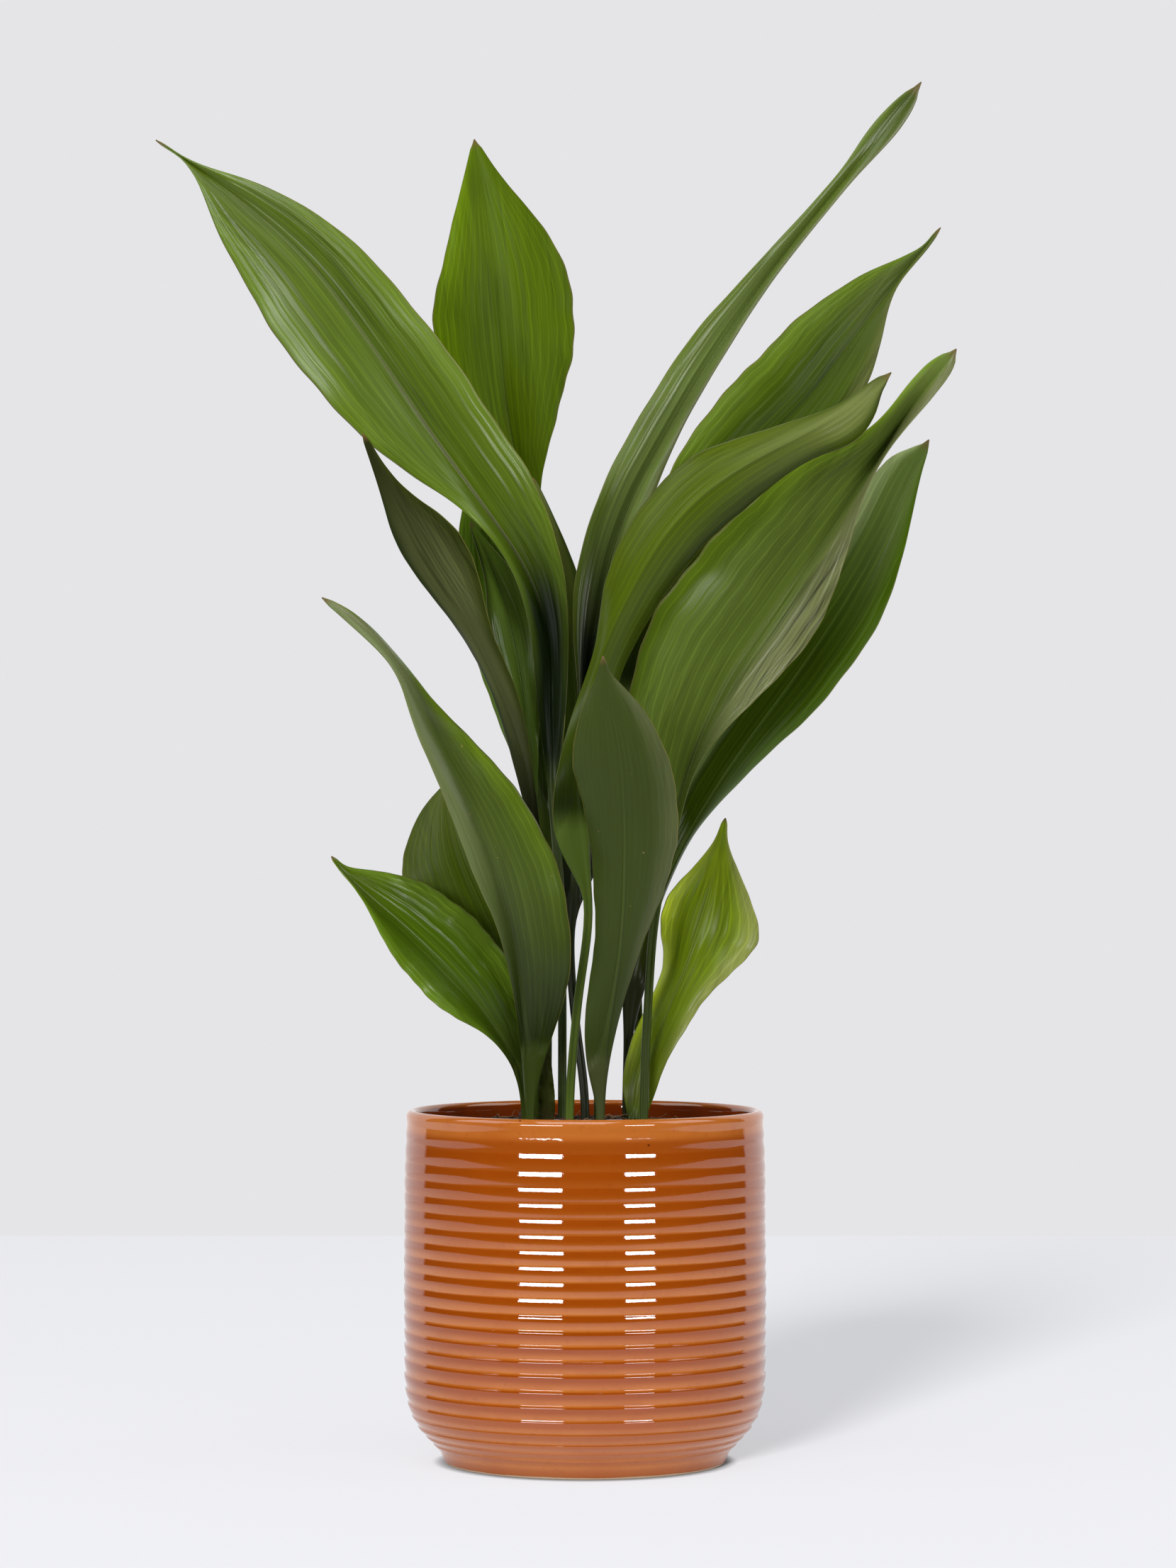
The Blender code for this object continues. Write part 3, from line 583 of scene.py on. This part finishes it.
def earth_material(name, tones, scale):
    """Loose brown matter in three tones, rough and grainy."""
    dark, middle, pale = tones
    made, tree, shader = new_material(name)
    place = add(tree, "NewGeometry").outputs["Position"]
    tone = noise(tree, place, scale, 4.0, 0.6)
    grain = noise(tree, place, scale * 9, 3.0, 0.6)
    colour = blend(tree, step(tree, tone, 0.32, 0.52), dark, middle)
    colour = blend(tree, step(tree, tone, 0.55, 0.75), colour, pale)
    colour = blend(tree, times(tree, grain, 0.4), colour, dark)
    tree.links.new(colour, shader.inputs["Base Color"])
    shader.inputs["Roughness"].default_value = 0.92
    bump = add(tree, "Bump", [("Height", grain), ("Strength", 0.8), ("Distance", 0.5 * MM)])
    tree.links.new(bump.outputs[0], shader.inputs["Normal"])
    return made


# Leaves


def route_through(rows, blade_from):
    """Smooth values along a route's rows, closer together on the blade, with how far along the blade and
    how far along the leaf each one is."""
    rows = np.array(rows, float)
    knots = np.concatenate([[0], np.cumsum(np.linalg.norm(np.diff(rows[:, :3], axis=0), axis=1))])
    slopes = np.gradient(rows, knots, axis=0)
    stalk = np.linspace(0, knots[blade_from], STALK_STATIONS, endpoint=False) if blade_from else []
    at = np.concatenate([stalk, np.linspace(knots[blade_from], knots[-1], BLADE_STATIONS)])
    low = np.clip(np.searchsorted(knots, at, side="right") - 1, 0, len(knots) - 2)
    span = (knots[low + 1] - knots[low])[:, None]
    t = (at[:, None] - knots[low][:, None]) / span
    values = (
        rows[low] * (2 * t ** 3 - 3 * t ** 2 + 1) + rows[low + 1] * (3 * t ** 2 - 2 * t ** 3)
        + slopes[low] * span * (t ** 3 - 2 * t ** 2 + t) + slopes[low + 1] * span * (t ** 3 - t ** 2)
    )
    along = np.clip((at - knots[blade_from]) / (knots[-1] - knots[blade_from]), 0, 1)
    return evened(values, at), along, at


def evened(values, at):
    """Values along a leaf with their corners taken out. The ends stay where they are."""
    room = np.minimum(at - at[0], at[-1] - at)
    spread = np.minimum(EVENED_OVER, room / 2.5 + 0.01)[:, None]
    weights = np.exp(-0.5 * ((at[:, None] - at) / spread) ** 2) * np.gradient(at)
    return (weights / weights.sum(axis=1, keepdims=True)) @ values


def blade_width(shape, along):
    """Half-width along the blade: pointed at both ends and broadest where the leaf says."""
    rise = shape["fullness"] * shape["widest"]
    fall = shape["fullness"] * (1 - shape["widest"])
    outline = (along / shape["widest"]) ** rise * ((1 - along) / (1 - shape["widest"])) ** fall
    return shape["half_width"] * outline


def column_distances(edge, stalk):
    """How far each column of one half lies from the midrib: round the stalk where there is only a stalk,
    and over the rib and then evenly to the margin where the blade is broad."""
    step_share = np.linspace(0, 1, STEPS_ACROSS + 1)
    steps = step_share * STEPS_ACROSS
    circle = edge[:, None] * np.sin(np.pi / 2 * step_share)
    over_rib = stalk[:, None] * np.sin(np.pi / 2 * np.minimum(steps / RIB_STEPS, 1))
    beside = np.maximum(steps - RIB_STEPS, 0) / (STEPS_ACROSS - RIB_STEPS)
    blade = over_rib + (edge - stalk)[:, None] * beside
    broad = np.clip((edge / stalk - 1) / 2, 0, 1)[:, None]
    return circle * (1 - broad) + blade * broad


def leaf_sheet(shape, relief, draw):
    """The leaf's middle surface as a grid of points, its normals, and what the material and rings need."""
    values, along, at = route_through(shape["route"], shape["blade_from"])
    centre, reach = values[:, :3], np.maximum(values[:, 3:], 0) * smooth(1.0, 0.985, along)[:, None]
    onwards = unit(np.gradient(centre, at, axis=0))
    sideways = unit(np.cross(FRONT_TO_BACK, onwards))
    facing = np.cross(sideways, onwards)
    width = blade_width(shape, along)
    stalk = STALK_RADIUS * (1 - STALK_TAPER * along)
    edge = np.hypot(width, stalk)
    distance = column_distances(edge, stalk)
    share = distance / edge[:, None]
    swell = np.sin(np.pi * along)
    count = 2 * STEPS_ACROSS + 1
    grid = np.zeros((len(at), count, 3))
    for half in (0, 1):
        sign = 1 if half else -1
        phases = draw.uniform(0, 2 * np.pi, 8)
        spare = np.sqrt(np.maximum(width ** 2 - reach[:, half] ** 2, 0) + FOLD_EASE ** 2) - FOLD_EASE
        spare = evened(spare, at)
        ragged = np.ones_like(along)
        for (waves, height), phase in zip(RAGGED, phases):
            ragged += height * np.sin(2 * np.pi * waves * along + phase) * swell
        lateral = np.hypot(reach[:, half], stalk) * ragged
        wave = WAVE_HEIGHT * np.sin(2 * np.pi * WAVES * along + WAVE_SHIFT * half)
        wave += RIPPLE_HEIGHT * np.sin(2 * np.pi * RIPPLES * along + phases[2])
        forward = shape["fold"][half] * spare[:, None] * share + (wave * swell)[:, None] * share ** 2
        forward += BLADE_ARCH * width[:, None] * 4 * share * (1 - share)
        forward += relief[half] * pleats(share, along, lateral, phases[3:])
        side = (
            centre[:, None] + sideways[:, None] * (sign * lateral[:, None] * share)[..., None]
            + facing[:, None] * forward[..., None]
        )
        if half:
            grid[:, STEPS_ACROSS:] = side
        else:
            grid[:, :STEPS_ACROSS + 1] = side[:, ::-1]
    normals = unit(np.cross(np.gradient(grid, axis=1), np.gradient(grid, at, axis=0)))
    both = np.hypot(reach, stalk[:, None])
    return {
        "grid": grid, "normals": normals, "stalk": stalk, "width": width, "along": along, "at": at,
        "reach": np.repeat(both, (STEPS_ACROSS, STEPS_ACROSS + 1), axis=1),
        "share": np.concatenate([-share[:, :0:-1], share], axis=1),
        "distance": np.concatenate([distance[:, :0:-1], distance], axis=1),
    }


def pleats(share, along, reach, phases):
    """Shallow folds along the veins, which fade out at the midrib, the margin and where a half is narrow."""
    folds = np.zeros_like(share)
    for (number, height), phase in zip(PLEATS, phases):
        drift = PLEAT_DRIFT * np.sin(2 * np.pi * DRIFT_WAVES * along + phase)[:, None]
        folds += height * np.cos(2 * np.pi * number * share + phase + drift)
    room = smooth(3, 18, reach)[:, None]
    return folds * room * smooth(0.03, 0.14, share) * (1 - smooth(0.86, 1.0, share))


def thicknesses(sheet):
    """Half-thickness on the underside, with its raised midrib, and on the upper face, with its groove."""
    stalk, distance = sheet["stalk"][:, None], sheet["distance"]
    share = np.abs(sheet["share"])
    rounded = np.sqrt(np.maximum(stalk ** 2 - distance ** 2, 0))
    broad = smooth(0.6, 3.0, sheet["width"] / sheet["stalk"])[:, None]
    sheet_half = np.minimum(LEAF_HALF_THICKNESS, stalk) * (1 - 0.6 * smooth(0.9, 1.0, share))
    under = np.sqrt((rounded * (1 - RIB_FLATTER * broad)) ** 2 + (broad * sheet_half) ** 2)
    groove = np.exp(-(distance / (GROOVE_WIDTH * stalk)) ** 2)
    stem = rounded - STALK_GROOVE * stalk * groove
    flat = sheet_half + RIB_ABOVE * rounded - BLADE_GROOVE * stalk * groove
    upper = stem * (1 - broad) + flat * broad
    under[:, [0, -1]] = 0
    upper[:, [0, -1]] = 0
    return upper, under


def make_leaf(name, number):
    """A closed leaf: each station is a ring that runs over the front face and back over the rear one."""
    shape, colours = LEAVES[name], LOOKS[name]
    sheet = leaf_sheet(shape, colours["relief"], np.random.default_rng(100 + number))
    upper, under = thicknesses(sheet)
    front, rear = (upper, under) if colours["upper"] > 0 else (under, upper)
    over = sheet["grid"] + sheet["normals"] * front[..., None]
    back = sheet["grid"] - sheet["normals"] * rear[..., None]
    rings = np.concatenate([over, back[:, -2:0:-1]], axis=1)
    stations, sides = rings.shape[:2]
    faces = grid_faces(stations, sides)
    faces += [list(range(sides))[::-1], list(range((stations - 1) * sides, stations * sides))]
    surface = leaf_material(name, colours, 13.0 * number)
    made = make_object(f"{name}_fine", rings.reshape(-1, 3), faces, surface)
    write_leaf_attributes(made.data, sheet, colours["upper"])
    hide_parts(name)
    return made


def write_leaf_attributes(mesh, sheet, upper):
    """Where each point lies on its leaf, for the leaf's material."""
    def ringed(values):
        return np.concatenate([values, values[:, -2:0:-1]], axis=1)

    columns = sheet["share"].shape[1]
    along = np.repeat(sheet["along"][:, None], columns, axis=1)
    length = np.repeat(sheet["at"][:, None] / 100, columns, axis=1)
    from_rib = sheet["distance"] / sheet["stalk"][:, None]
    stalk = np.repeat(1 - smooth(0.2, 3.5, sheet["width"] / sheet["stalk"])[:, None], columns, axis=1)
    face = np.concatenate([np.full_like(along, upper), np.full_like(along[:, 2:], -upper)], axis=1)
    blade = np.stack([ringed(sheet["share"]), ringed(along), ringed(length)], axis=-1)
    rib = np.stack([ringed(from_rib), ringed(stalk), face], axis=-1)
    reach = ringed(sheet["reach"])
    spread = np.stack([ringed(sheet["share"]) * reach, reach, np.zeros_like(reach)], axis=-1)
    for attribute, values in (("blade", blade), ("rib", rib), ("spread", spread)):
        made = mesh.attributes.new(attribute, "FLOAT_VECTOR", "POINT")
        made.data.foreach_set("vector", values.astype(np.float32).ravel())


# Pot


def side_radius(height):
    return np.interp(height, [z for _, z in POT_SIDE], [r for r, _ in POT_SIDE])


def by_height(table, height):
    return float(np.interp(height, *zip(*table)))


def thin_glaze_and_reflection(share, height):
    """How pale the glaze is drawn: partly the glaze's own paler tone and partly a painted reflection of the
    pale floor, on each rib's down-facing lower flank and on the curve into the foot. share is how far up a
    rib it lies.
    """
    edge = 1 - smooth(0.08, 0.66, share)
    on_rib = edge * (0.2 + 0.8 * smooth(170, 100, height))
    on_curve = smooth(46, 12, height)
    return max(on_rib, on_curve * (0.45 + 0.4 * edge))


def pot_outline():
    """The pot's profile from the middle of its underside up, over the lip and down inside, as rows of
    radius, height, how pale the glaze is drawn, partly as a painted reflection of the floor, and whether it
    is inside."""
    rows = [(60.0, POT_UNDERSIDE, 0, 0), (70.0, 1.0, 0, 0)] + [(r, z, 0.5, 0) for r, z in POT_FOOT]
    for low, high in zip(GROOVES, GROOVES[1:]):
        depth, crest = by_height(RIB_DEPTHS, (low + high) / 2), by_height(RIB_CRESTS, (low + high) / 2)
        for share in np.arange(RIB_POINTS) / RIB_POINTS:
            height = low + (high - low) * share
            turn = share / crest / 2 if share < crest else 0.5 + (share - crest) / (1 - crest) / 2
            sunk = depth * (1 - math.sin(math.pi * turn))
            rows.append((side_radius(height) - sunk, height, thin_glaze_and_reflection(share, height), 0))
    rows.append((side_radius(GROOVES[-1]) - by_height(RIB_DEPTHS, GROOVES[-1]), GROOVES[-1], 0.15, 0))
    rows += [(r, z, 0.15 + 0.75 * smooth(173, 177, z), 0) for r, z in POT_LIP]
    return np.array(rows + [(r, z, 0, 1) for r, z in POT_INSIDE])


def make_pot():
    rows = pot_outline()
    turn = 2 * np.pi * np.arange(POT_SIDES) / POT_SIDES
    draw = np.random.default_rng(5)
    outer = (rows[:, 3] == 0) & (rows[:, 1] > 6)
    wander = np.zeros((len(rows), POT_SIDES))
    for waves in (2, 3, 5):
        phase = draw.uniform(0, 2 * np.pi) + 0.11 * rows[:, 1] * draw.uniform(0.5, 1.0)
        wander += np.sin(waves * turn + phase[:, None]) / waves
    radius = rows[:, 0][:, None] + RIB_WANDER * wander * outer[:, None]
    height = np.repeat(rows[:, 1][:, None], POT_SIDES, axis=1)
    points = np.stack([radius * np.cos(turn), radius * np.sin(turn), height], axis=-1).reshape(-1, 3)
    faces = grid_faces(len(rows), POT_SIDES)
    base, floor = len(points), len(points) + 1
    last = (len(rows) - 1) * POT_SIDES
    points = np.vstack([points, [(0, 0, POT_UNDERSIDE), (0, 0, POT_FLOOR)]])
    for side in range(POT_SIDES):
        after = (side + 1) % POT_SIDES
        faces += [(base, after, side), (floor, last + side, last + after)]
    pot = make_object("pot_glazed", points, faces, glaze_material())
    glaze = np.repeat(np.stack([rows[:, 2], rows[:, 1], rows[:, 3]], axis=-1), POT_SIDES, axis=0)
    glaze = np.vstack([glaze, [(0, 0, 0), (0, POT_FLOOR, 1)]])
    attribute = pot.data.attributes.new("glaze", "FLOAT_VECTOR", "POINT")
    attribute.data.foreach_set("vector", glaze.astype(np.float32).ravel())
    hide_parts("pot")
    return pot


# Soil


def soil_height(x, y):
    """The mound, with the bumps of loose soil."""
    radius = np.hypot(x, y)
    rise = SOIL_CROWN_HEIGHT - SOIL_EDGE_HEIGHT
    mound = SOIL_EDGE_HEIGHT + rise * np.cos(np.pi / 2 * radius / SOIL_EDGE_RADIUS)
    bumps = np.zeros_like(radius)
    draw = np.random.default_rng(11)
    for pace, height in SOIL_BUMPS:
        for _ in range(BUMP_WAYS):
            way, phase = draw.uniform(0, 2 * np.pi), draw.uniform(0, 2 * np.pi)
            bumps += height / BUMP_SHARE * np.sin(pace * (x * math.cos(way) + y * math.sin(way)) + phase)
    return mound + SOIL_HEAPED + bumps * (1 - 0.5 * smooth(0.8, 1.0, radius / SOIL_EDGE_RADIUS))


def make_soil():
    turn = 2 * np.pi * np.arange(SOIL_SIDES) / SOIL_SIDES
    rings = []
    for radius, height in reversed(POT_INSIDE):
        if height <= SOIL_LINE:
            x, y = (radius - SOIL_GAP) * np.cos(turn), (radius - SOIL_GAP) * np.sin(turn)
            rings.append(np.stack([x, y, np.full(SOIL_SIDES, height + SOIL_GAP)], axis=-1))
    for radius in np.linspace(SOIL_EDGE_RADIUS, SOIL_MIDDLE_RADIUS, SOIL_RINGS):
        x, y = radius * np.cos(turn), radius * np.sin(turn)
        rings.append(np.stack([x, y, soil_height(x, y)], axis=-1))
    points = np.concatenate(rings)
    faces = grid_faces(len(rings), SOIL_SIDES)
    last = (len(rings) - 1) * SOIL_SIDES
    faces += [list(range(SOIL_SIDES))[::-1], list(range(last, last + SOIL_SIDES))]
    soil = make_object("soil_mound", points, faces, earth_material("soil", SOIL_TONES, 240.0))
    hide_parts("soil")


def ball(subdivisions):
    """Points and faces of a round ball of radius 1."""
    work = bmesh.new()
    bmesh.ops.create_icosphere(work, subdivisions=subdivisions, radius=1.0)
    points = np.array([vertex.co[:] for vertex in work.verts])
    faces = np.array([[vertex.index for vertex in face.verts] for face in work.faces])
    work.free()
    return points, faces


def turned_about(points, angles):
    """Points turned about X, then Y, then Z."""
    for axis, angle in enumerate(angles):
        first, second = (axis + 1) % 3, (axis + 2) % 3
        turned = points.copy()
        turned[:, first] = points[:, first] * math.cos(angle) - points[:, second] * math.sin(angle)
        turned[:, second] = points[:, first] * math.sin(angle) + points[:, second] * math.cos(angle)
        points = turned
    return points


def scatter(name, count, seed, subdivisions, sizes, flatness, sink, surface):
    """Rough lumps that lie on the soil, as one object. sizes are the least and greatest half-length,
    flatness is a lump's width and height beside its length, and sink is how deep it lies in heights."""
    draw = np.random.default_rng(seed)
    base, triangles = ball(subdivisions)
    points, faces = [], []
    for _ in range(count):
        size = sizes[0] + (sizes[1] - sizes[0]) * draw.uniform() ** 2.5
        bend, phase = draw.uniform(1.5, 3.5, (3, 3)), draw.uniform(0, 2 * np.pi, 3)
        rough = 1 + 0.16 * np.sin(base @ bend + phase).sum(axis=1, keepdims=True)
        lump = base * rough * size * np.array([1.0, flatness[0], flatness[1]])
        lump = turned_about(lump, (draw.normal(0, 0.35), draw.normal(0, 0.35), draw.uniform(0, 2 * np.pi)))
        radius = (SOIL_EDGE_RADIUS - size - 1.0) * math.sqrt(draw.uniform())
        way = draw.uniform(0, 2 * np.pi)
        x, y = radius * math.cos(way), radius * math.sin(way)
        height = float(soil_height(np.array([x]), np.array([y]))[0]) - sink * size * flatness[1]
        faces.append(triangles + len(points) * len(base))
        points.append(lump + np.array([x, y, height]))
    made = make_object(name, np.concatenate(points), np.concatenate(faces).tolist(), surface)


def make_fibres():
    """Coir fibres: thin curved threads that lie on the soil, some with an end that stands up."""
    draw = np.random.default_rng(31)
    sides = FIBRE_SIDES
    points, faces = [], []
    for number in range(FIBRES):
        points.append(thread(*fibre_line(draw)))
        first = number * FIBRE_STEPS * sides
        last = first + (FIBRE_STEPS - 1) * sides
        faces += grid_faces(FIBRE_STEPS, sides, first)
        faces += [list(range(first, first + sides)), list(range(last, last + sides))[::-1]]
    surface = earth_material("coir fibre", FIBRE_TONES, 160.0)
    made = make_object("soil_fibres", np.concatenate(points), faces, surface)


def fibre_line(draw):
    """One fibre's line over the soil, and its radius at its thicker end."""
    length, thick = draw.uniform(*FIBRE_LENGTHS), draw.uniform(*FIBRE_RADII)
    radius = FIBRE_SPREAD * math.sqrt(draw.uniform())
    way, heading = draw.uniform(0, 2 * np.pi), draw.uniform(0, 2 * np.pi)
    curl = draw.normal(0, FIBRE_CURL)
    most_lift = LIFT_UP if draw.uniform() < FIBRES_UP else LIFT_FLAT
    lift = draw.uniform(0, most_lift)
    along = np.linspace(0, 1, FIBRE_STEPS)
    heading = heading + curl * length * along
    x = radius * math.cos(way) + np.cumsum(np.cos(heading)) * length / FIBRE_STEPS
    y = radius * math.sin(way) + np.cumsum(np.sin(heading)) * length / FIBRE_STEPS
    reach = np.maximum(np.hypot(x, y) / (SOIL_EDGE_RADIUS - 2), 1)
    x, y = x / reach, y / reach
    return np.stack([x, y, soil_height(x, y) + 0.3 + lift * np.sin(np.pi * along) ** 2], axis=-1), thick


def thread(line, thick):
    """Rings of points round a line, which get thinner towards its end."""
    along = np.linspace(0, 1, len(line))
    onwards = unit(np.gradient(line, axis=0))
    beside = unit(np.cross(onwards, (0.0, 0.0, 1.0)))
    above = np.cross(beside, onwards)
    turn = (2 * np.pi * np.arange(FIBRE_SIDES) / FIBRE_SIDES)[None, :, None]
    taper = (thick * (1 - 0.6 * along ** 3))[:, None, None]
    rings = line[:, None] + taper * (beside[:, None] * np.cos(turn) + above[:, None] * np.sin(turn))
    return rings.reshape(-1, 3)


# Stage


def area_light(name, azimuth, elevation, distance, width, height, radiance):
    """A softbox aimed at the plant. azimuth is from the camera's side of it, positive to the right."""
    light = bpy.data.lights.new(name, "AREA")
    light.shape = "RECTANGLE"
    light.size, light.size_y = width, height
    light.energy = radiance * math.pi * width * height
    made = bpy.data.objects.new(name, light)
    turn, rise = math.radians(azimuth), math.radians(elevation)
    made.location = (
        distance * math.sin(turn) * math.cos(rise), -distance * math.cos(turn) * math.cos(rise),
        AIM_HEIGHT + distance * math.sin(rise),
    )
    made.rotation_euler = (math.pi / 2 - rise, 0, turn)
    made.visible_camera = False
    bpy.context.scene.collection.objects.link(made)


def make_floor():
    """A pale floor that glows a little, so that it stays even, with its glow dimmed round the pot's foot as
    a painted contact shadow. Further forward it is dark to everything but the camera, so that the plant is
    lit as on a small table in a dim studio."""
    surface, tree, shader = new_material("studio floor")
    shader.inputs["Base Color"].default_value = FLOOR_COLOUR
    shader.inputs["Emission Color"].default_value = FLOOR_GLOW_COLOUR
    # Painted contact shadow: the floor's glow dims close to the pot's foot.
    painted_contact_shade = add(tree, "AmbientOcclusion", [("Distance", CONTACT_SHADE_REACH)]).outputs["AO"]
    glow = times(tree, step(tree, painted_contact_shade, 0.2, 0.9), FLOOR_GLOW)
    tree.links.new(glow, shader.inputs["Emission Strength"])
    shader.inputs["Roughness"].default_value = 0.9
    shader.inputs["Specular IOR Level"].default_value = 0.0
    place = add(tree, "SeparateXYZ", [(0, add(tree, "NewGeometry").outputs["Position"])]).outputs
    unseen = maths(tree, "SUBTRACT", 1.0, add(tree, "LightPath").outputs["Is Camera Ray"])
    dark = add(tree, "Emission", [("Strength", UNLIT_GLOW)]).outputs[0]
    share = times(tree, unseen, step(tree, place[1], FLOOR_LIT, FLOOR_UNLIT))
    mixed = add(tree, "MixShader", [(0, share), (1, shader.outputs[0]), (2, dark)])
    tree.links.new(mixed.outputs[0], tree.nodes["Material Output"].inputs["Surface"])
    corners = [
        (-FLOOR_REACH, -FLOOR_REACH, 0), (FLOOR_REACH, -FLOOR_REACH, 0), (FLOOR_REACH, FLOOR_END, 0),
        (-FLOOR_REACH, FLOOR_END, 0),
    ]
    mesh = bpy.data.meshes.new("studio_floor")
    mesh.from_pydata(corners, [], [(0, 1, 2, 3)])
    mesh.materials.append(surface)
    floor = bpy.data.objects.new("studio_floor", mesh)
    bpy.context.scene.collection.objects.link(floor)
    return floor


def low_sun(floor, pot):
    """A soft low light that falls on the floor alone, for the pot's faint shadow behind it."""
    light = bpy.data.lights.new("floor light", "SUN")
    light.energy, light.angle = SUN_STRENGTH, math.radians(SUN_SPREAD)
    made = bpy.data.objects.new("floor light", light)
    made.rotation_euler = (math.radians(90 - SUN_HEIGHT), 0, math.radians(SUN_TURN))
    bpy.context.scene.collection.objects.link(made)
    lit = bpy.data.collections.new("lit by the floor light")
    shading = bpy.data.collections.new("shading the floor")
    lit.objects.link(floor)
    shading.objects.link(pot)
    made.light_linking.receiver_collection = lit
    made.light_linking.blocker_collection = shading


def make_world():
    """A pale studio: bright behind the plant, dim on the camera's side, and plain where it is seen."""
    world = bpy.data.worlds.new("studio")
    bpy.context.scene.world = world
    world.use_nodes = True
    tree = world.node_tree
    background = tree.nodes["Background"]
    way = add(tree, "SeparateXYZ", [(0, add(tree, "TexCoord").outputs["Generated"])]).outputs
    level = maths(tree, "SQRT", maths(tree, "SUBTRACT", 1.0, times(tree, way[2], way[2])))
    behind = step(tree, maths(tree, "DIVIDE", way[1], maths(tree, "MAXIMUM", level, 0.01)), 0.52, 0.58)
    low = step(tree, way[2], 0.8, 0.6)
    light = blend(tree, times(tree, behind, low), DIM_STUDIO, BRIGHT_STUDIO)
    seen = add(tree, "LightPath").outputs["Is Camera Ray"]
    tree.links.new(blend(tree, seen, light, BACKDROP), background.inputs["Color"])


def make_camera():
    data = bpy.data.cameras.new("camera")
    data.lens, data.sensor_width = LENS, SENSOR
    data.shift_x, data.shift_y = SHIFT_X, SHIFT_Y
    data.clip_start, data.clip_end = CLIP_NEAR, CLIP_FAR
    camera = bpy.data.objects.new("camera", data)
    camera.location = CAMERA_AT
    camera.rotation_euler = (math.pi / 2, 0, 0)
    bpy.context.scene.collection.objects.link(camera)
    bpy.context.scene.camera = camera


def make_stage(pot):
    """The camera, the softboxes, the floor with the pot's shadow, and the room."""
    bpy.context.scene.view_settings.view_transform = "Standard"
    make_camera()
    low_sun(make_floor(), pot)
    make_world()
    for softbox in SOFTBOXES:
        area_light(*softbox)


make_stage(make_pot())
make_soil()
scatter("soil_crumbs", CRUMBS, seed=21, subdivisions=1, sizes=(0.7, 3.0), flatness=(0.8, 0.7), sink=0.1,
        surface=earth_material("soil crumbs", CRUMB_TONES, 300.0))
scatter("soil_bark", BARK_CHIPS, seed=22, subdivisions=2, sizes=(2.5, 6.5), flatness=(0.55, 0.22),
        sink=-0.6, surface=earth_material("bark", BARK_TONES, 180.0))
make_fibres()
for order, leaf_name in enumerate(LEAVES):
    make_leaf(leaf_name, order + 1)
